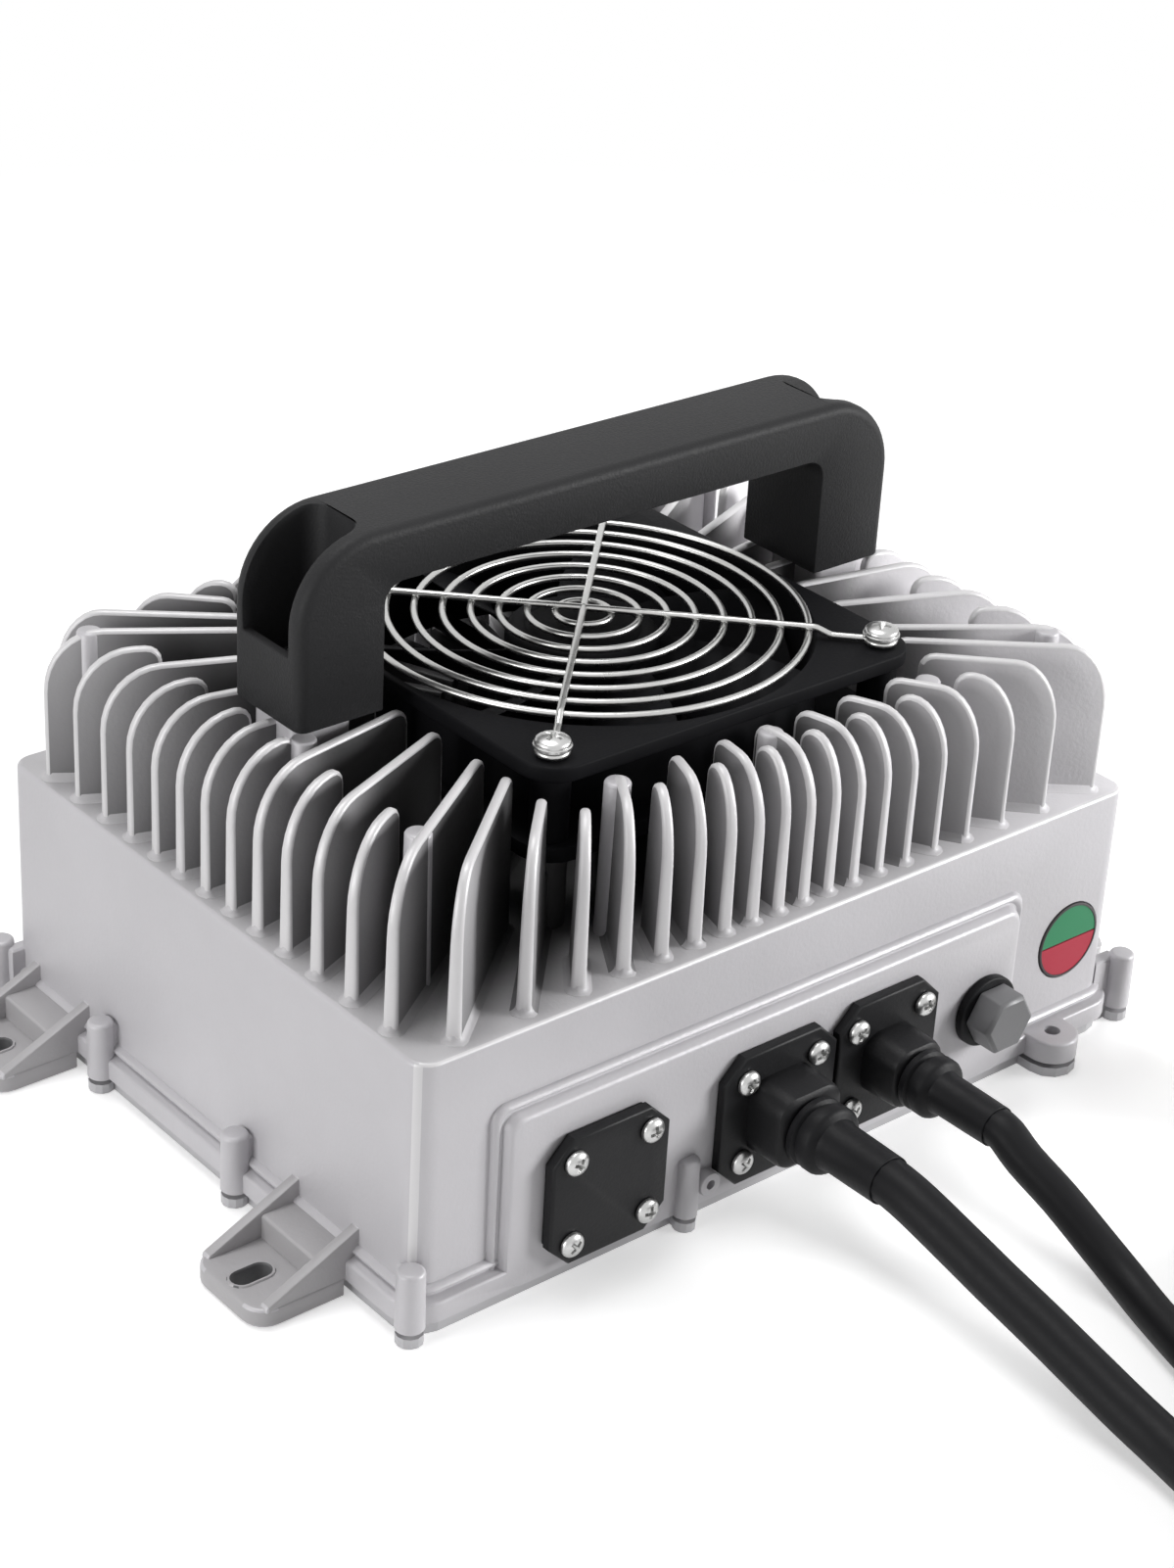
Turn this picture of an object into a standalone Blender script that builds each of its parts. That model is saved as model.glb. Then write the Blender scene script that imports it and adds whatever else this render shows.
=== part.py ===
"""Finned on-board battery charger: cast housing, top fan with wire guard, carry handle and two leads.

Metres, +Z up. The origin is on the floor under the middle of the body. The connector face looks along -Y.
"""
import math

import bmesh
import bpy
from mathutils import Matrix, Vector

for old in list(bpy.data.objects):
    bpy.data.objects.remove(old, do_unlink=True)

# Running gap between neighbouring pieces
GAP = 0.0003

# Housing body
BODY_LENGTH = 0.229
BODY_DEPTH = 0.174
BODY_TOP = 0.072
BODY_CORNER = 0.0055
WALL = 0.0035
TOP_PLATE = 0.005
WALL_DRAFT = 0.0004
RIM_EDGE = 0.001

# Bottom cover, its gasket and the flange round the housing's foot
COVER_THICKNESS = 0.0026
GASKET_THICKNESS = 0.0008
GASKET_WIDTH = 0.006
FLANGE_OUT = 0.004
FLANGE_HEIGHT = 0.0056
FLANGE_EDGE = 0.0008
CREST_OUT = 0.0020
CREST_HEIGHT = 0.0017
CREST_GROOVE = 0.0008
COVER_INSET = 0.002
RIM_BOTTOM = COVER_THICKNESS + GASKET_THICKNESS + 2 * GAP
HALF_L = BODY_LENGTH / 2
HALF_D = BODY_DEPTH / 2

# Columns that take the cover screws
COLUMN_RADIUS = 0.0034
COLUMN_TOP = 0.0200
COLUMN_OUT = 0.0039
COLUMN_RIGHT_OUT = 0.0070
COLUMN_END_OUT = 0.001
COLUMN_WEB = 0.0022
COLUMN_FRONT_Y = -0.0205
COLUMN_REAR_Y = 0.0395
COLUMN_FACE_RADIUS = 0.0029
COLUMN_FACE_OUT = 0.0005
COVER_SCREW_RADIUS = 0.0013
COVER_SCREW_HEAD = 0.0021
COVER_SCREW_LENGTH = 0.013

# Cooling fins, which fan out from just behind the middle of the fan
FIN_TOP = 0.113
FIN_ROOT = 0.0036
FIN_TIP = 0.0024
FIN_INSET_FACE = 0.0047
FIN_INSET_END = 0.0031
FIN_AIM_Y = 0.003
FIN_OUTER_ARC_FACE = 0.0115
FIN_OUTER_ARC_END = 0.015
FIN_OUTER_RISE = 0.017
FIN_INNER_ARC = 0.004
FIN_UNDER_FAN_GAP = 0.003
FIN_UNDER_FAN_REACH = 0.034
FACE_FINS_EACH_WAY = 9
FACE_FIN_MIDDLE = 0.0055
FACE_FIN_CLEAR_LEFT = 0.0121
FACE_FIN_CLEAR_RIGHT = 0.0086
END_FINS_EACH_WAY = 6
END_FIN_MIDDLE = 0.0069
END_FIN_CLEAR_FRONT = 0.0159
END_FIN_CLEAR_REAR = 0.0132
SHORT_FIN_FACE = 0.0125
SHORT_FIN_END = 0.0195
EJECTOR_RADIUS = 0.0032

# Fan
FAN_SIZE = 0.120
FAN_HEIGHT = 0.025
FAN_TOP = 0.116
FAN_CORNER = 0.0095
FAN_FLANGE = 0.004
FAN_BORE = FAN_SIZE / 2 - 0.0025
FAN_DUCT_WALL = 0.0022
FAN_PITCH = FAN_SIZE - 0.015
FAN_POST_RADIUS = 0.0048
FAN_SPOKE_WIDTH = 0.006
FAN_SPOKE_HEIGHT = 0.003
FAN_BASE_RADIUS = FAN_BORE * 0.33
FAN_MOTOR_RADIUS = FAN_BORE * 0.243
FAN_MOTOR_HEIGHT = 0.016
FIN_CLEAR_OF_FAN = 0.002
ROTOR_HUB_RADIUS = FAN_BORE * 0.34
ROTOR_HUB_WALL = 0.0025
ROTOR_TOP_DROP = 0.002
ROTOR_SHAFT = 0.002
ROTOR_CLEARANCE = 0.0015
BLADES = 7
BLADE_THICKNESS = 0.0016
BLADE_ROOT_ANGLE = 48.0
BLADE_TIP_ANGLE = 27.0
BLADE_CHORD_ROOT = 0.018
BLADE_CHORD_TIP = 0.026

# Wire guard over the fan
GUARD_WIRE = 0.0009
GUARD_RINGS = 8
GUARD_RING_PITCH = (FAN_BORE - 0.0011) / GUARD_RINGS
GUARD_RING_LIFT = 0.0015
GUARD_WELD = 0.0003
GUARD_LOOP = 0.0034
FAN_SCREW_RADIUS = 0.002
FAN_SCREW_HEAD = 0.0047
FAN_SCREW_LENGTH = 0.034

# Carry handle; its bar, corners and screws keep their shares of its height and of its posts' width
HANDLE_OPEN_HALF = FAN_SIZE / 2 + 0.0095
HANDLE_HALF = HANDLE_OPEN_HALF + 0.0240
HANDLE_TOP = 0.1605
HANDLE_BOTTOM = 0.1145
HANDLE_FRONT_Y = -0.0105
HANDLE_WIDTH = 0.0275
HANDLE_RISE = HANDLE_TOP - HANDLE_BOTTOM
HANDLE_POST = HANDLE_HALF - HANDLE_OPEN_HALF
HANDLE_CORNER = HANDLE_RISE * 0.46
HANDLE_BAR = HANDLE_RISE * 0.30
HANDLE_OPEN_CORNER = HANDLE_RISE * 0.11
HANDLE_EDGE = HANDLE_BAR * 0.2
POCKET_FLOOR = HANDLE_BOTTOM + HANDLE_RISE * 0.22
POCKET_LIP = HANDLE_BOTTOM + HANDLE_RISE * 0.39
POCKET_WALL = HANDLE_POST * 0.125
POCKET_LIP_WALL = HANDLE_POST * 0.11
POCKET_FRONT_WALL = 0.005
POCKET_REAR_WALL = 0.0040
PEDESTAL_LENGTH = HANDLE_POST * 0.70
PEDESTAL_WIDTH = 0.018
PEDESTAL_CORNER = HANDLE_POST * 0.125
HANDLE_SCREW_RADIUS = HANDLE_POST * 0.115
HANDLE_SCREW_HEAD = HANDLE_POST * 0.21
HANDLE_SCREW_LENGTH = 0.026

# Mounting feet
FOOT_REACH = 0.0288
FOOT_WIDTH = 0.0275
FOOT_THICKNESS = 0.005
FOOT_CORNER = 0.006
FOOT_FRONT_Y = -0.0525
FOOT_REAR_Y = 0.064
FOOT_STEP_REACH = 0.011
FOOT_STEP_TOP = 0.0115
FOOT_RIB = 0.003
FOOT_RIB_TOP = 0.0175
SLOT_LENGTH = 0.0105
SLOT_WIDTH = 0.0052
SLOT_OUT = 0.0210

# Plates on the panel
PLATE_CORNER = 0.006
PLATE_THICKNESS = 0.0027
PLATE_PITCH = 0.0228
PLATE_SCREW_RADIUS = 0.0015
PLATE_SCREW_HEAD = 0.0032
PLATE_SCREW_LENGTH = 0.009
PLATE_GAP = 0.0010
OUTPUT_X = -0.0105
OUTPUT_Z = 0.0258
OUTPUT_SIZE = 0.0365
INPUT_SIZE = 0.0340
INPUT_X = OUTPUT_X + (OUTPUT_SIZE + INPUT_SIZE) / 2 + PLATE_GAP
INPUT_Z = 0.0266
BLANK_SIZE = 0.0350
BLANK_FROM_OUTPUT = 0.0180
BLANK_X = OUTPUT_X - (OUTPUT_SIZE + BLANK_SIZE) / 2 - BLANK_FROM_OUTPUT
BLANK_Z = 0.0252
BLANK_GASKET = 0.0006
BLANK_OPENING = 0.008
COLUMN_FACE_X = OUTPUT_X - OUTPUT_SIZE / 2 - 0.0080
LUG_X = COLUMN_FACE_X + 0.0056
LUG_Z = 0.0112
LUG_RADIUS = 0.0032
LUG_HOLE = 0.0013
LUG_OUT = 0.0030

# Vent plug, status lens and the small screw ear
VENT_X = INPUT_X + INPUT_SIZE / 2 + 0.0201
VENT_Z = 0.0255
VENT_HEX = 0.0085
VENT_HEAD = 0.0075
VENT_SEAL_RADIUS = 0.0098
VENT_SEAL = 0.0022
VENT_STEM = 0.005
LENS_X = HALF_L - 0.0163
LENS_Z = 0.0316
LENS_RADIUS = 0.0108
LENS_PROUD = 0.0006
LENS_RECESS = 0.0012
EAR_X = HALF_L - 0.0251
EAR_OUT = 0.0064
EAR_RADIUS = 0.0071
EAR_TOP = 0.010
EAR_HOLE = 0.0022

# Raised connector panel on the front face, with a groove along its sloping edge
PANEL_OUT = 0.0042
PANEL_LEFT = BLANK_X - BLANK_SIZE / 2 - 0.0090
PANEL_RIGHT = VENT_X + 0.0105
PANEL_TOP = 0.0505
PANEL_SLOPE = 0.0038
PANEL_CORNER = 0.004

# Cable entries: a square body on the plate, then a tapered strain relief
OUTPUT_CABLE = 0.006
INPUT_CABLE = 0.005
ENTRY_BODY_OUT = 0.0113
ENTRY_BODY_HALF = 0.0105
ENTRY_BODY_CORNER = 0.006
BOOT_LENGTH = 0.026
BOOT_COLLAR = 0.008
BOOT_EXTRA = 0.003
BOOT_TAPER = 0.0010
BOOT_TIP = 0.0004
CABLE_FIT = 0.0004

# Inner pieces
BOARD_CLEAR = 0.016
BOARD_LENGTH = BODY_LENGTH - 2 * (WALL + BOARD_CLEAR)
BOARD_DEPTH = BODY_DEPTH - 2 * (WALL + BOARD_CLEAR)
BOARD_THICKNESS = 0.0016
BOARD_BOTTOM = 0.010
BOARD_CORNER_INSET = 0.008
BOARD_POST_RADIUS = 0.004
TRANSFORMER_SIZE = (0.042, 0.036, 0.030)
CHOKE_RADIUS = 0.019
CHOKE_BORE = 0.009
CHOKE_HEIGHT = 0.016
CAPACITOR_RADIUS = 0.0125
CAPACITOR_HEIGHT = 0.036
RELAY_SIZE = (0.028, 0.014, 0.018)
MODULE_SIZE = (0.060, 0.022, 0.006)
MODULE_BOND = GAP

# Leads: radius as above, coils lie on the floor beyond the connector face
OUTPUT_COIL_X = 0.036
OUTPUT_COIL_Y = -0.367
OUTPUT_COIL_MID = 0.060
INPUT_COIL_X = 0.075
INPUT_COIL_Y = -0.236
INPUT_COIL_MID = 0.050
LIFT = 0.0002
OUTPUT_TAIL = 0.030
OUTPUT_REST = 0.0140
INPUT_TAIL = 0.028
INPUT_REST = 0.0122

# Heights and faces that several pieces share
FAN_BOTTOM = FAN_TOP - FAN_HEIGHT
CAVITY_TOP = BODY_TOP - TOP_PLATE
FACE_Y = -HALF_D
PANEL_Y = FACE_Y - PANEL_OUT
GUARD_LOOP_Z = FAN_TOP + GAP + GUARD_WIRE
GUARD_RING_Z = FAN_TOP + GUARD_RING_LIFT
GUARD_ARM_Z = GUARD_RING_Z + 2 * GUARD_WIRE - GUARD_WELD
HANDLE_Y = HANDLE_FRONT_Y + HANDLE_WIDTH / 2
HANDLE_SCREW_X = (HANDLE_HALF + HANDLE_OPEN_HALF + POCKET_WALL) / 2
PEDESTAL_TOP = HANDLE_BOTTOM - GAP

COLUMN_SPOTS = (
    (-HALF_L - COLUMN_OUT / 2, -HALF_D - COLUMN_END_OUT),
    (HALF_L + COLUMN_RIGHT_OUT, -HALF_D - COLUMN_END_OUT / 2),
    (-HALF_L - COLUMN_OUT, HALF_D + COLUMN_END_OUT),
    (HALF_L + COLUMN_OUT, HALF_D + COLUMN_END_OUT),
    (-HALF_L - COLUMN_OUT, COLUMN_FRONT_Y),
    (HALF_L + COLUMN_OUT, COLUMN_FRONT_Y),
    (-HALF_L - COLUMN_OUT, COLUMN_REAR_Y),
    (HALF_L + COLUMN_OUT, COLUMN_REAR_Y),
    (COLUMN_FACE_X, -HALF_D - PANEL_OUT - COLUMN_FACE_OUT),
    (COLUMN_FACE_X, HALF_D + PANEL_OUT + COLUMN_FACE_OUT),
)
FOOT_SPOTS = ((-1, FOOT_FRONT_Y), (1, FOOT_FRONT_Y), (-1, FOOT_REAR_Y), (1, FOOT_REAR_Y))
FAN_SPOTS = tuple((sx * FAN_PITCH / 2, sy * FAN_PITCH / 2) for sx in (-1, 1) for sy in (-1, 1))
EJECTOR_SPOTS = (
    (-HALF_L + 0.0195, -FAN_SIZE / 2 + 0.0017),
    (-0.0430, -FAN_SIZE / 2 - 0.0050),
    (0.0031, -FAN_SIZE / 2 - 0.0068),
    (0.0543, -FAN_SIZE / 2 - 0.0080),
    (HALF_L - 0.0143, -FAN_SIZE / 2 - 0.0051),
    (-HALF_L + 0.0241, -0.0078),
    (-HALF_L + 0.0135, FAN_SIZE / 2 + 0.0087),
    (-0.0430, FAN_SIZE / 2 + 0.0060),
    (0.0031, FAN_SIZE / 2 + 0.0070),
    (0.0543, FAN_SIZE / 2 + 0.0070),
    (HALF_L - 0.0143, FAN_SIZE / 2 + 0.0060),
)


def material(name, colour, roughness, metallic=0.0):
    made = bpy.data.materials.new(name)
    made.use_nodes = True
    shader = made.node_tree.nodes["Principled BSDF"]
    shader.inputs["Base Color"].default_value = (*colour, 1.0)
    shader.inputs["Roughness"].default_value = roughness
    shader.inputs["Metallic"].default_value = metallic
    return made


ALUMINIUM = material("cast_aluminium", (0.66, 0.66, 0.67), 0.45, 0.6)
SHEET = material("sheet_metal", (0.60, 0.60, 0.62), 0.4, 0.8)
BLACK_PLASTIC = material("black_plastic", (0.03, 0.03, 0.032), 0.55)
FAN_PLASTIC = material("fan_plastic", (0.02, 0.02, 0.022), 0.5)
PLATED = material("plated_wire", (0.78, 0.77, 0.74), 0.25, 1.0)
SCREW_STEEL = material("screw_steel", (0.72, 0.72, 0.72), 0.3, 1.0)
RUBBER = material("black_rubber", (0.025, 0.025, 0.027), 0.7)
GREY_PLASTIC = material("grey_plastic", (0.25, 0.25, 0.26), 0.5)
LENS = material("status_lens", (0.15, 0.42, 0.27), 0.35)
BOARD_GREEN = material("circuit_board", (0.03, 0.16, 0.07), 0.5)
COPPER = material("copper_winding", (0.55, 0.24, 0.10), 0.4, 0.8)
FERRITE = material("ferrite", (0.09, 0.09, 0.10), 0.7)
CAN = material("capacitor_can", (0.05, 0.06, 0.16), 0.4)


def place(bm, name, mat, smooth_angle=None):
    """Close a bmesh into an object with one material."""
    bmesh.ops.recalc_face_normals(bm, faces=bm.faces)
    mesh = bpy.data.meshes.new(name)
    bm.to_mesh(mesh)
    bm.free()
    mesh.materials.append(mat)
    if smooth_angle is not None:
        mesh.shade_smooth()
        mesh.set_sharp_from_angle(angle=math.radians(smooth_angle))
    made = bpy.data.objects.new(name, mesh)
    bpy.context.scene.collection.objects.link(made)
    return made


def hide_tool(made):
    made.hide_render = True
    made.display_type = "WIRE"
    return made


def combine(target, tool, operation):
    """Boolean by a helper object, which the part itself leaves out."""
    hide_tool(tool)
    step = target.modifiers.new(operation.lower() + "_" + tool.name, "BOOLEAN")
    step.operation = operation
    step.solver = "EXACT"
    step.object = tool


def arc(centre_x, centre_y, radius_x, start, end, steps, radius_y=None):
    """Points on an arc, angles in degrees, both ends included."""
    radius_y = radius_x if radius_y is None else radius_y
    found = []
    for i in range(steps + 1):
        turn = math.radians(start + (end - start) * i / steps)
        found.append((centre_x + radius_x * math.cos(turn), centre_y + radius_y * math.sin(turn)))
    return found


def rounded_rectangle(x0, y0, x1, y1, radius, steps=3):
    """Outline of a rectangle with round corners, anticlockwise."""
    return (
        arc(x1 - radius, y0 + radius, radius, -90, 0, steps)
        + arc(x1 - radius, y1 - radius, radius, 0, 90, steps)
        + arc(x0 + radius, y1 - radius, radius, 90, 180, steps)
        + arc(x0 + radius, y0 + radius, radius, 180, 270, steps)
    )


def centred_rectangle(half_x, half_y, radius, steps=3):
    return rounded_rectangle(-half_x, -half_y, half_x, half_y, radius, steps)


def loft(bm, rings):
    """Skin a stack of outlines that have the same number of points, and cap both ends."""
    rows = [[bm.verts.new(point) for point in ring] for ring in rings]
    count = len(rows[0])
    for low, high in zip(rows, rows[1:]):
        for i in range(count):
            j = (i + 1) % count
            bm.faces.new((low[i], low[j], high[j], high[i]))
    bm.faces.new(list(reversed(rows[0])))
    bm.faces.new(rows[-1])


def upright(outline, height):
    return [(x, y, height) for x, y in outline]


def prism(bm, outline, low, high):
    """Extrude an outline in the XY plane from one height to another."""
    loft(bm, [upright(outline, low), upright(outline, high)])


def facing_front(outline, depth):
    """Put an XZ outline in the plane Y = depth."""
    return [(x, depth, z) for x, z in outline]


def front_prism(bm, outline, y0, y1):
    loft(bm, [facing_front(outline, y0), facing_front(outline, y1)])


def turned(bm, profile, centre, segments, along="Z"):
    """Turn a closed half profile of (radius, height) round an axis through centre."""
    turn = {
        "Z": Matrix.Identity(3),
        "-Y": Matrix.Rotation(math.pi / 2, 3, "X"),
        "+X": Matrix.Rotation(math.pi / 2, 3, "Y"),
    }
    spin = turn[along]
    rows = []
    for radius, height in profile:
        if radius < 1e-9:
            rows.append([bm.verts.new(Vector(centre) + spin @ Vector((0, 0, height)))])
            continue
        row = []
        for i in range(segments):
            angle = 2 * math.pi * i / segments
            spot = Vector((radius * math.cos(angle), radius * math.sin(angle), height))
            row.append(bm.verts.new(Vector(centre) + spin @ spot))
        rows.append(row)
    closed = rows[0] != rows[-1] and len(rows[0]) > 1 and len(rows[-1]) > 1
    pairs = list(zip(rows, rows[1:]))
    if closed:
        pairs.append((rows[-1], rows[0]))
    for low, high in pairs:
        for i in range(segments):
            j = (i + 1) % segments
            if len(low) == 1:
                bm.faces.new((low[0], high[j], high[i]))
            elif len(high) == 1:
                bm.faces.new((low[i], low[j], high[0]))
            else:
                bm.faces.new((low[i], low[j], high[j], high[i]))


def cylinder(bm, centre_x, centre_y, radius, low, high, segments=12):
    turned(bm, [(0, low), (radius, low), (radius, high), (0, high)], (centre_x, centre_y, 0), segments)


def front_cylinder(bm, x, z, radius, y_back, y_front, segments=12):
    """A cylinder along -Y from y_back out to y_front."""
    turned(
        bm,
        [(0, 0), (radius, 0), (radius, y_back - y_front), (0, y_back - y_front)],
        (x, y_back, z),
        segments,
        "-Y",
    )


def swept_wire(bm, path, radius, sides=6, closed=False):
    """A round wire along a path, with its section turned as little as possible."""
    points = [Vector(p) for p in path]
    count = len(points)
    rows = []
    side = None
    for i, point in enumerate(points):
        if closed:
            ahead = points[(i + 1) % count] - points[i - 1]
        else:
            ahead = points[min(i + 1, count - 1)] - points[max(i - 1, 0)]
        ahead.normalize()
        if side is None:
            side = ahead.cross(Vector((0, 0, 1))).normalized()
        side = (side - ahead * side.dot(ahead)).normalized()
        up = ahead.cross(side)
        row = []
        for k in range(sides):
            angle = 2 * math.pi * (k + 0.5) / sides
            row.append(bm.verts.new(point + radius * (math.cos(angle) * side + math.sin(angle) * up)))
        rows.append(row)
    pairs = list(zip(rows, rows[1:]))
    if closed:
        pairs.append((rows[-1], rows[0]))
    for low, high in pairs:
        for k in range(sides):
            j = (k + 1) % sides
            bm.faces.new((low[k], low[j], high[j], high[k]))
    if not closed:
        bm.faces.new(list(reversed(rows[0])))
        bm.faces.new(rows[-1])


def body_outline(grow, steps=3):
    """The housing's plan, moved out by grow."""
    return centred_rectangle(HALF_L + grow, HALF_D + grow, BODY_CORNER + grow, steps)


def build_fin(bm, base_x, base_y, length, arc_depth, reach_under_fan):
    """One tapered fin, from its outer edge inwards along the line to the fan's middle."""
    inward = Vector((-base_x, FIN_AIM_Y - base_y, 0)).normalized()
    across = Vector((-inward.y, inward.x, 0))
    root = BODY_TOP - RIM_EDGE
    outline = [(0, root), (0, FIN_TOP - FIN_OUTER_RISE)]
    outline += arc(arc_depth, FIN_TOP - FIN_OUTER_RISE, arc_depth, 180, 90, 3, FIN_OUTER_RISE)[1:]
    inner = min(FIN_INNER_ARC, length - arc_depth)
    outline += arc(length - inner, FIN_TOP - inner, inner, 90, 0, 1)[
        (0 if length - arc_depth > inner + 1e-6 else 1):
    ]
    if reach_under_fan > 0:
        step = FAN_BOTTOM - FIN_UNDER_FAN_GAP
        outline += [(length, step), (length + reach_under_fan, step), (length + reach_under_fan, root)]
    else:
        outline += [(length, root)]
    sides = []
    for sign in (-1, 1):
        row = []
        for distance, height in outline:
            taper = (height - BODY_TOP) / (FIN_TOP - BODY_TOP)
            half = (FIN_ROOT + (FIN_TIP - FIN_ROOT) * taper) / 2
            row.append(Vector((base_x, base_y, height)) + inward * distance + across * sign * half)
        sides.append(row)
    loft(bm, sides)


def run_to_box(x, y, half_x, half_y):
    """How far a fin that starts at x, y runs before it meets a box round the middle."""
    inward = Vector((-x, FIN_AIM_Y - y)).normalized()
    along_x = (abs(x) - half_x) / max(abs(inward.x), 1e-9)
    along_y = (abs(y) - half_y) / max(abs(inward.y), 1e-9)
    return max(along_x, along_y)


def even_angles(low, high, middle, reach, each_way):
    """Places along an edge from low to high that are evenly spread in angle, seen from the middle."""
    first = math.atan2(low - middle, reach)
    last = math.atan2(high - middle, reach)
    found = []
    for i in range(-each_way, each_way + 1):
        turn = first + (last - first) * (i + each_way) / (2 * each_way)
        found.append((i, middle + reach * math.tan(turn)))
    return found


def fins():
    """All the fins: long ones run to the fan and on beneath it, short ones stop near the rim."""
    bm = bmesh.new()
    face_reach = HALF_D - FIN_INSET_FACE
    end_reach = HALF_L - FIN_INSET_END
    fan_half = FAN_SIZE / 2 + FIN_CLEAR_OF_FAN
    left = -HALF_L + FACE_FIN_CLEAR_LEFT
    right = HALF_L - FACE_FIN_CLEAR_RIGHT
    front = -HALF_D + END_FIN_CLEAR_FRONT
    rear = HALF_D - END_FIN_CLEAR_REAR
    face_spots = even_angles(left, right, FACE_FIN_MIDDLE, face_reach, FACE_FINS_EACH_WAY)
    end_spots = even_angles(front, rear, END_FIN_MIDDLE, end_reach, END_FINS_EACH_WAY)
    spots = []
    for i, x in face_spots:
        corner_fin = abs(i) == FACE_FINS_EACH_WAY
        for side in (-1, 1):
            spots.append((x, side * face_reach, i % 2 == 0 or corner_fin, corner_fin, FIN_OUTER_ARC_FACE))
    for i, y in end_spots:
        for side in (-1, 1):
            spots.append((side * end_reach, y, i % 2 == 0, False, FIN_OUTER_ARC_END))
    for x, y, long_fin, corner_fin, arc_depth in spots:
        under_fan = 0
        if long_fin:
            length = run_to_box(x, y, fan_half, fan_half)
            if not corner_fin:
                under_fan = math.hypot(x, y - FIN_AIM_Y) - length - FIN_UNDER_FAN_REACH
        else:
            length = run_to_box(x, y, end_reach - SHORT_FIN_END, face_reach - SHORT_FIN_FACE)
        build_fin(bm, x, y, length, min(arc_depth, length - FIN_INNER_ARC), under_fan)
    return place(bm, "fin_tool", ALUMINIUM)


def housing_posts():
    """Fan posts, handle pedestals and ejector bosses, which rise among the fins."""
    bm = bmesh.new()
    for x, y in FAN_SPOTS:
        cylinder(bm, x, y, FAN_POST_RADIUS, CAVITY_TOP + RIM_EDGE, FAN_BOTTOM - GAP, 10)
    for side in (-1, 1):
        x = side * HANDLE_SCREW_X
        half_x = PEDESTAL_LENGTH / 2
        half_y = PEDESTAL_WIDTH / 2
        foot = rounded_rectangle(
            x - half_x, HANDLE_Y - half_y, x + half_x, HANDLE_Y + half_y, PEDESTAL_CORNER, 1
        )
        prism(bm, foot, CAVITY_TOP + RIM_EDGE, PEDESTAL_TOP)
    posts = place(bm, "post_tool", ALUMINIUM)
    bm = bmesh.new()
    for x, y in EJECTOR_SPOTS:
        cylinder(bm, x, y, EJECTOR_RADIUS, CAVITY_TOP + 2 * RIM_EDGE, FIN_TOP - 0.0008, 8)
    return posts, place(bm, "ejector_tool", ALUMINIUM)


def housing_flange():
    """The flange round the foot of the walls, a groove above it and a low crest on the wall."""
    flange_top = RIM_BOTTOM + FLANGE_HEIGHT
    groove_top = flange_top + CREST_GROOVE + 2 * GAP
    steps = (
        (RIM_BOTTOM, FLANGE_OUT),
        (flange_top - FLANGE_EDGE, FLANGE_OUT),
        (flange_top, FLANGE_OUT - FLANGE_EDGE),
        (flange_top + 2 * GAP, CREST_OUT - CREST_GROOVE),
        (groove_top, CREST_OUT - CREST_GROOVE),
        (groove_top + GAP, CREST_OUT),
        (groove_top + CREST_HEIGHT - FLANGE_EDGE, CREST_OUT),
        (groove_top + CREST_HEIGHT, CREST_OUT - FLANGE_EDGE),
    )
    bm = bmesh.new()
    loft(bm, [upright(body_outline(grow), height) for height, grow in steps])
    return place(bm, "flange_tool", ALUMINIUM)


def panel_outline(grow):
    return rounded_rectangle(
        PANEL_LEFT - grow, RIM_BOTTOM + 0.001, PANEL_RIGHT + grow, PANEL_TOP + grow, PANEL_CORNER, 2
    )


def housing_panel():
    """The raised panel that carries the connectors: an outer ledge, a groove and the face."""
    bm = bmesh.new()
    steps = (
        (-WALL / 2, 1.0),
        (PANEL_OUT * 0.22, 1.0),
        (PANEL_OUT * 0.45, 0.82),
        (PANEL_OUT * 0.45, 0.60),
        (PANEL_OUT * 0.30, 0.40),
        (PANEL_OUT * 0.85, 0.12),
        (PANEL_OUT, 0.0),
    )
    loft(bm, [facing_front(panel_outline(PANEL_SLOPE * share), FACE_Y - out) for out, share in steps])
    return place(bm, "panel_tool", ALUMINIUM)


def column_radius(x):
    return COLUMN_FACE_RADIUS if x == COLUMN_FACE_X else COLUMN_RADIUS


def column_webs(low, high):
    """A square web from each cover screw column to the wall."""
    bm = bmesh.new()
    for x, y in COLUMN_SPOTS:
        if abs(x) <= HALF_L:
            inside = math.copysign(HALF_D - WALL / 2, y)
            web = [(x - COLUMN_WEB, inside), (x - COLUMN_WEB, y)]
            web += [(x + COLUMN_WEB, y), (x + COLUMN_WEB, inside)]
        else:
            inside = math.copysign(HALF_L - WALL / 2, x)
            edge_y = y if abs(y) < HALF_D else math.copysign(HALF_D - COLUMN_WEB - GAP, y)
            web = [(inside, edge_y - COLUMN_WEB), (x, edge_y - COLUMN_WEB)]
            web += [(x, edge_y + COLUMN_WEB), (inside, edge_y + COLUMN_WEB)]
        prism(bm, web, low, high)
    return place(bm, "column_web_tool", ALUMINIUM)


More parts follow.
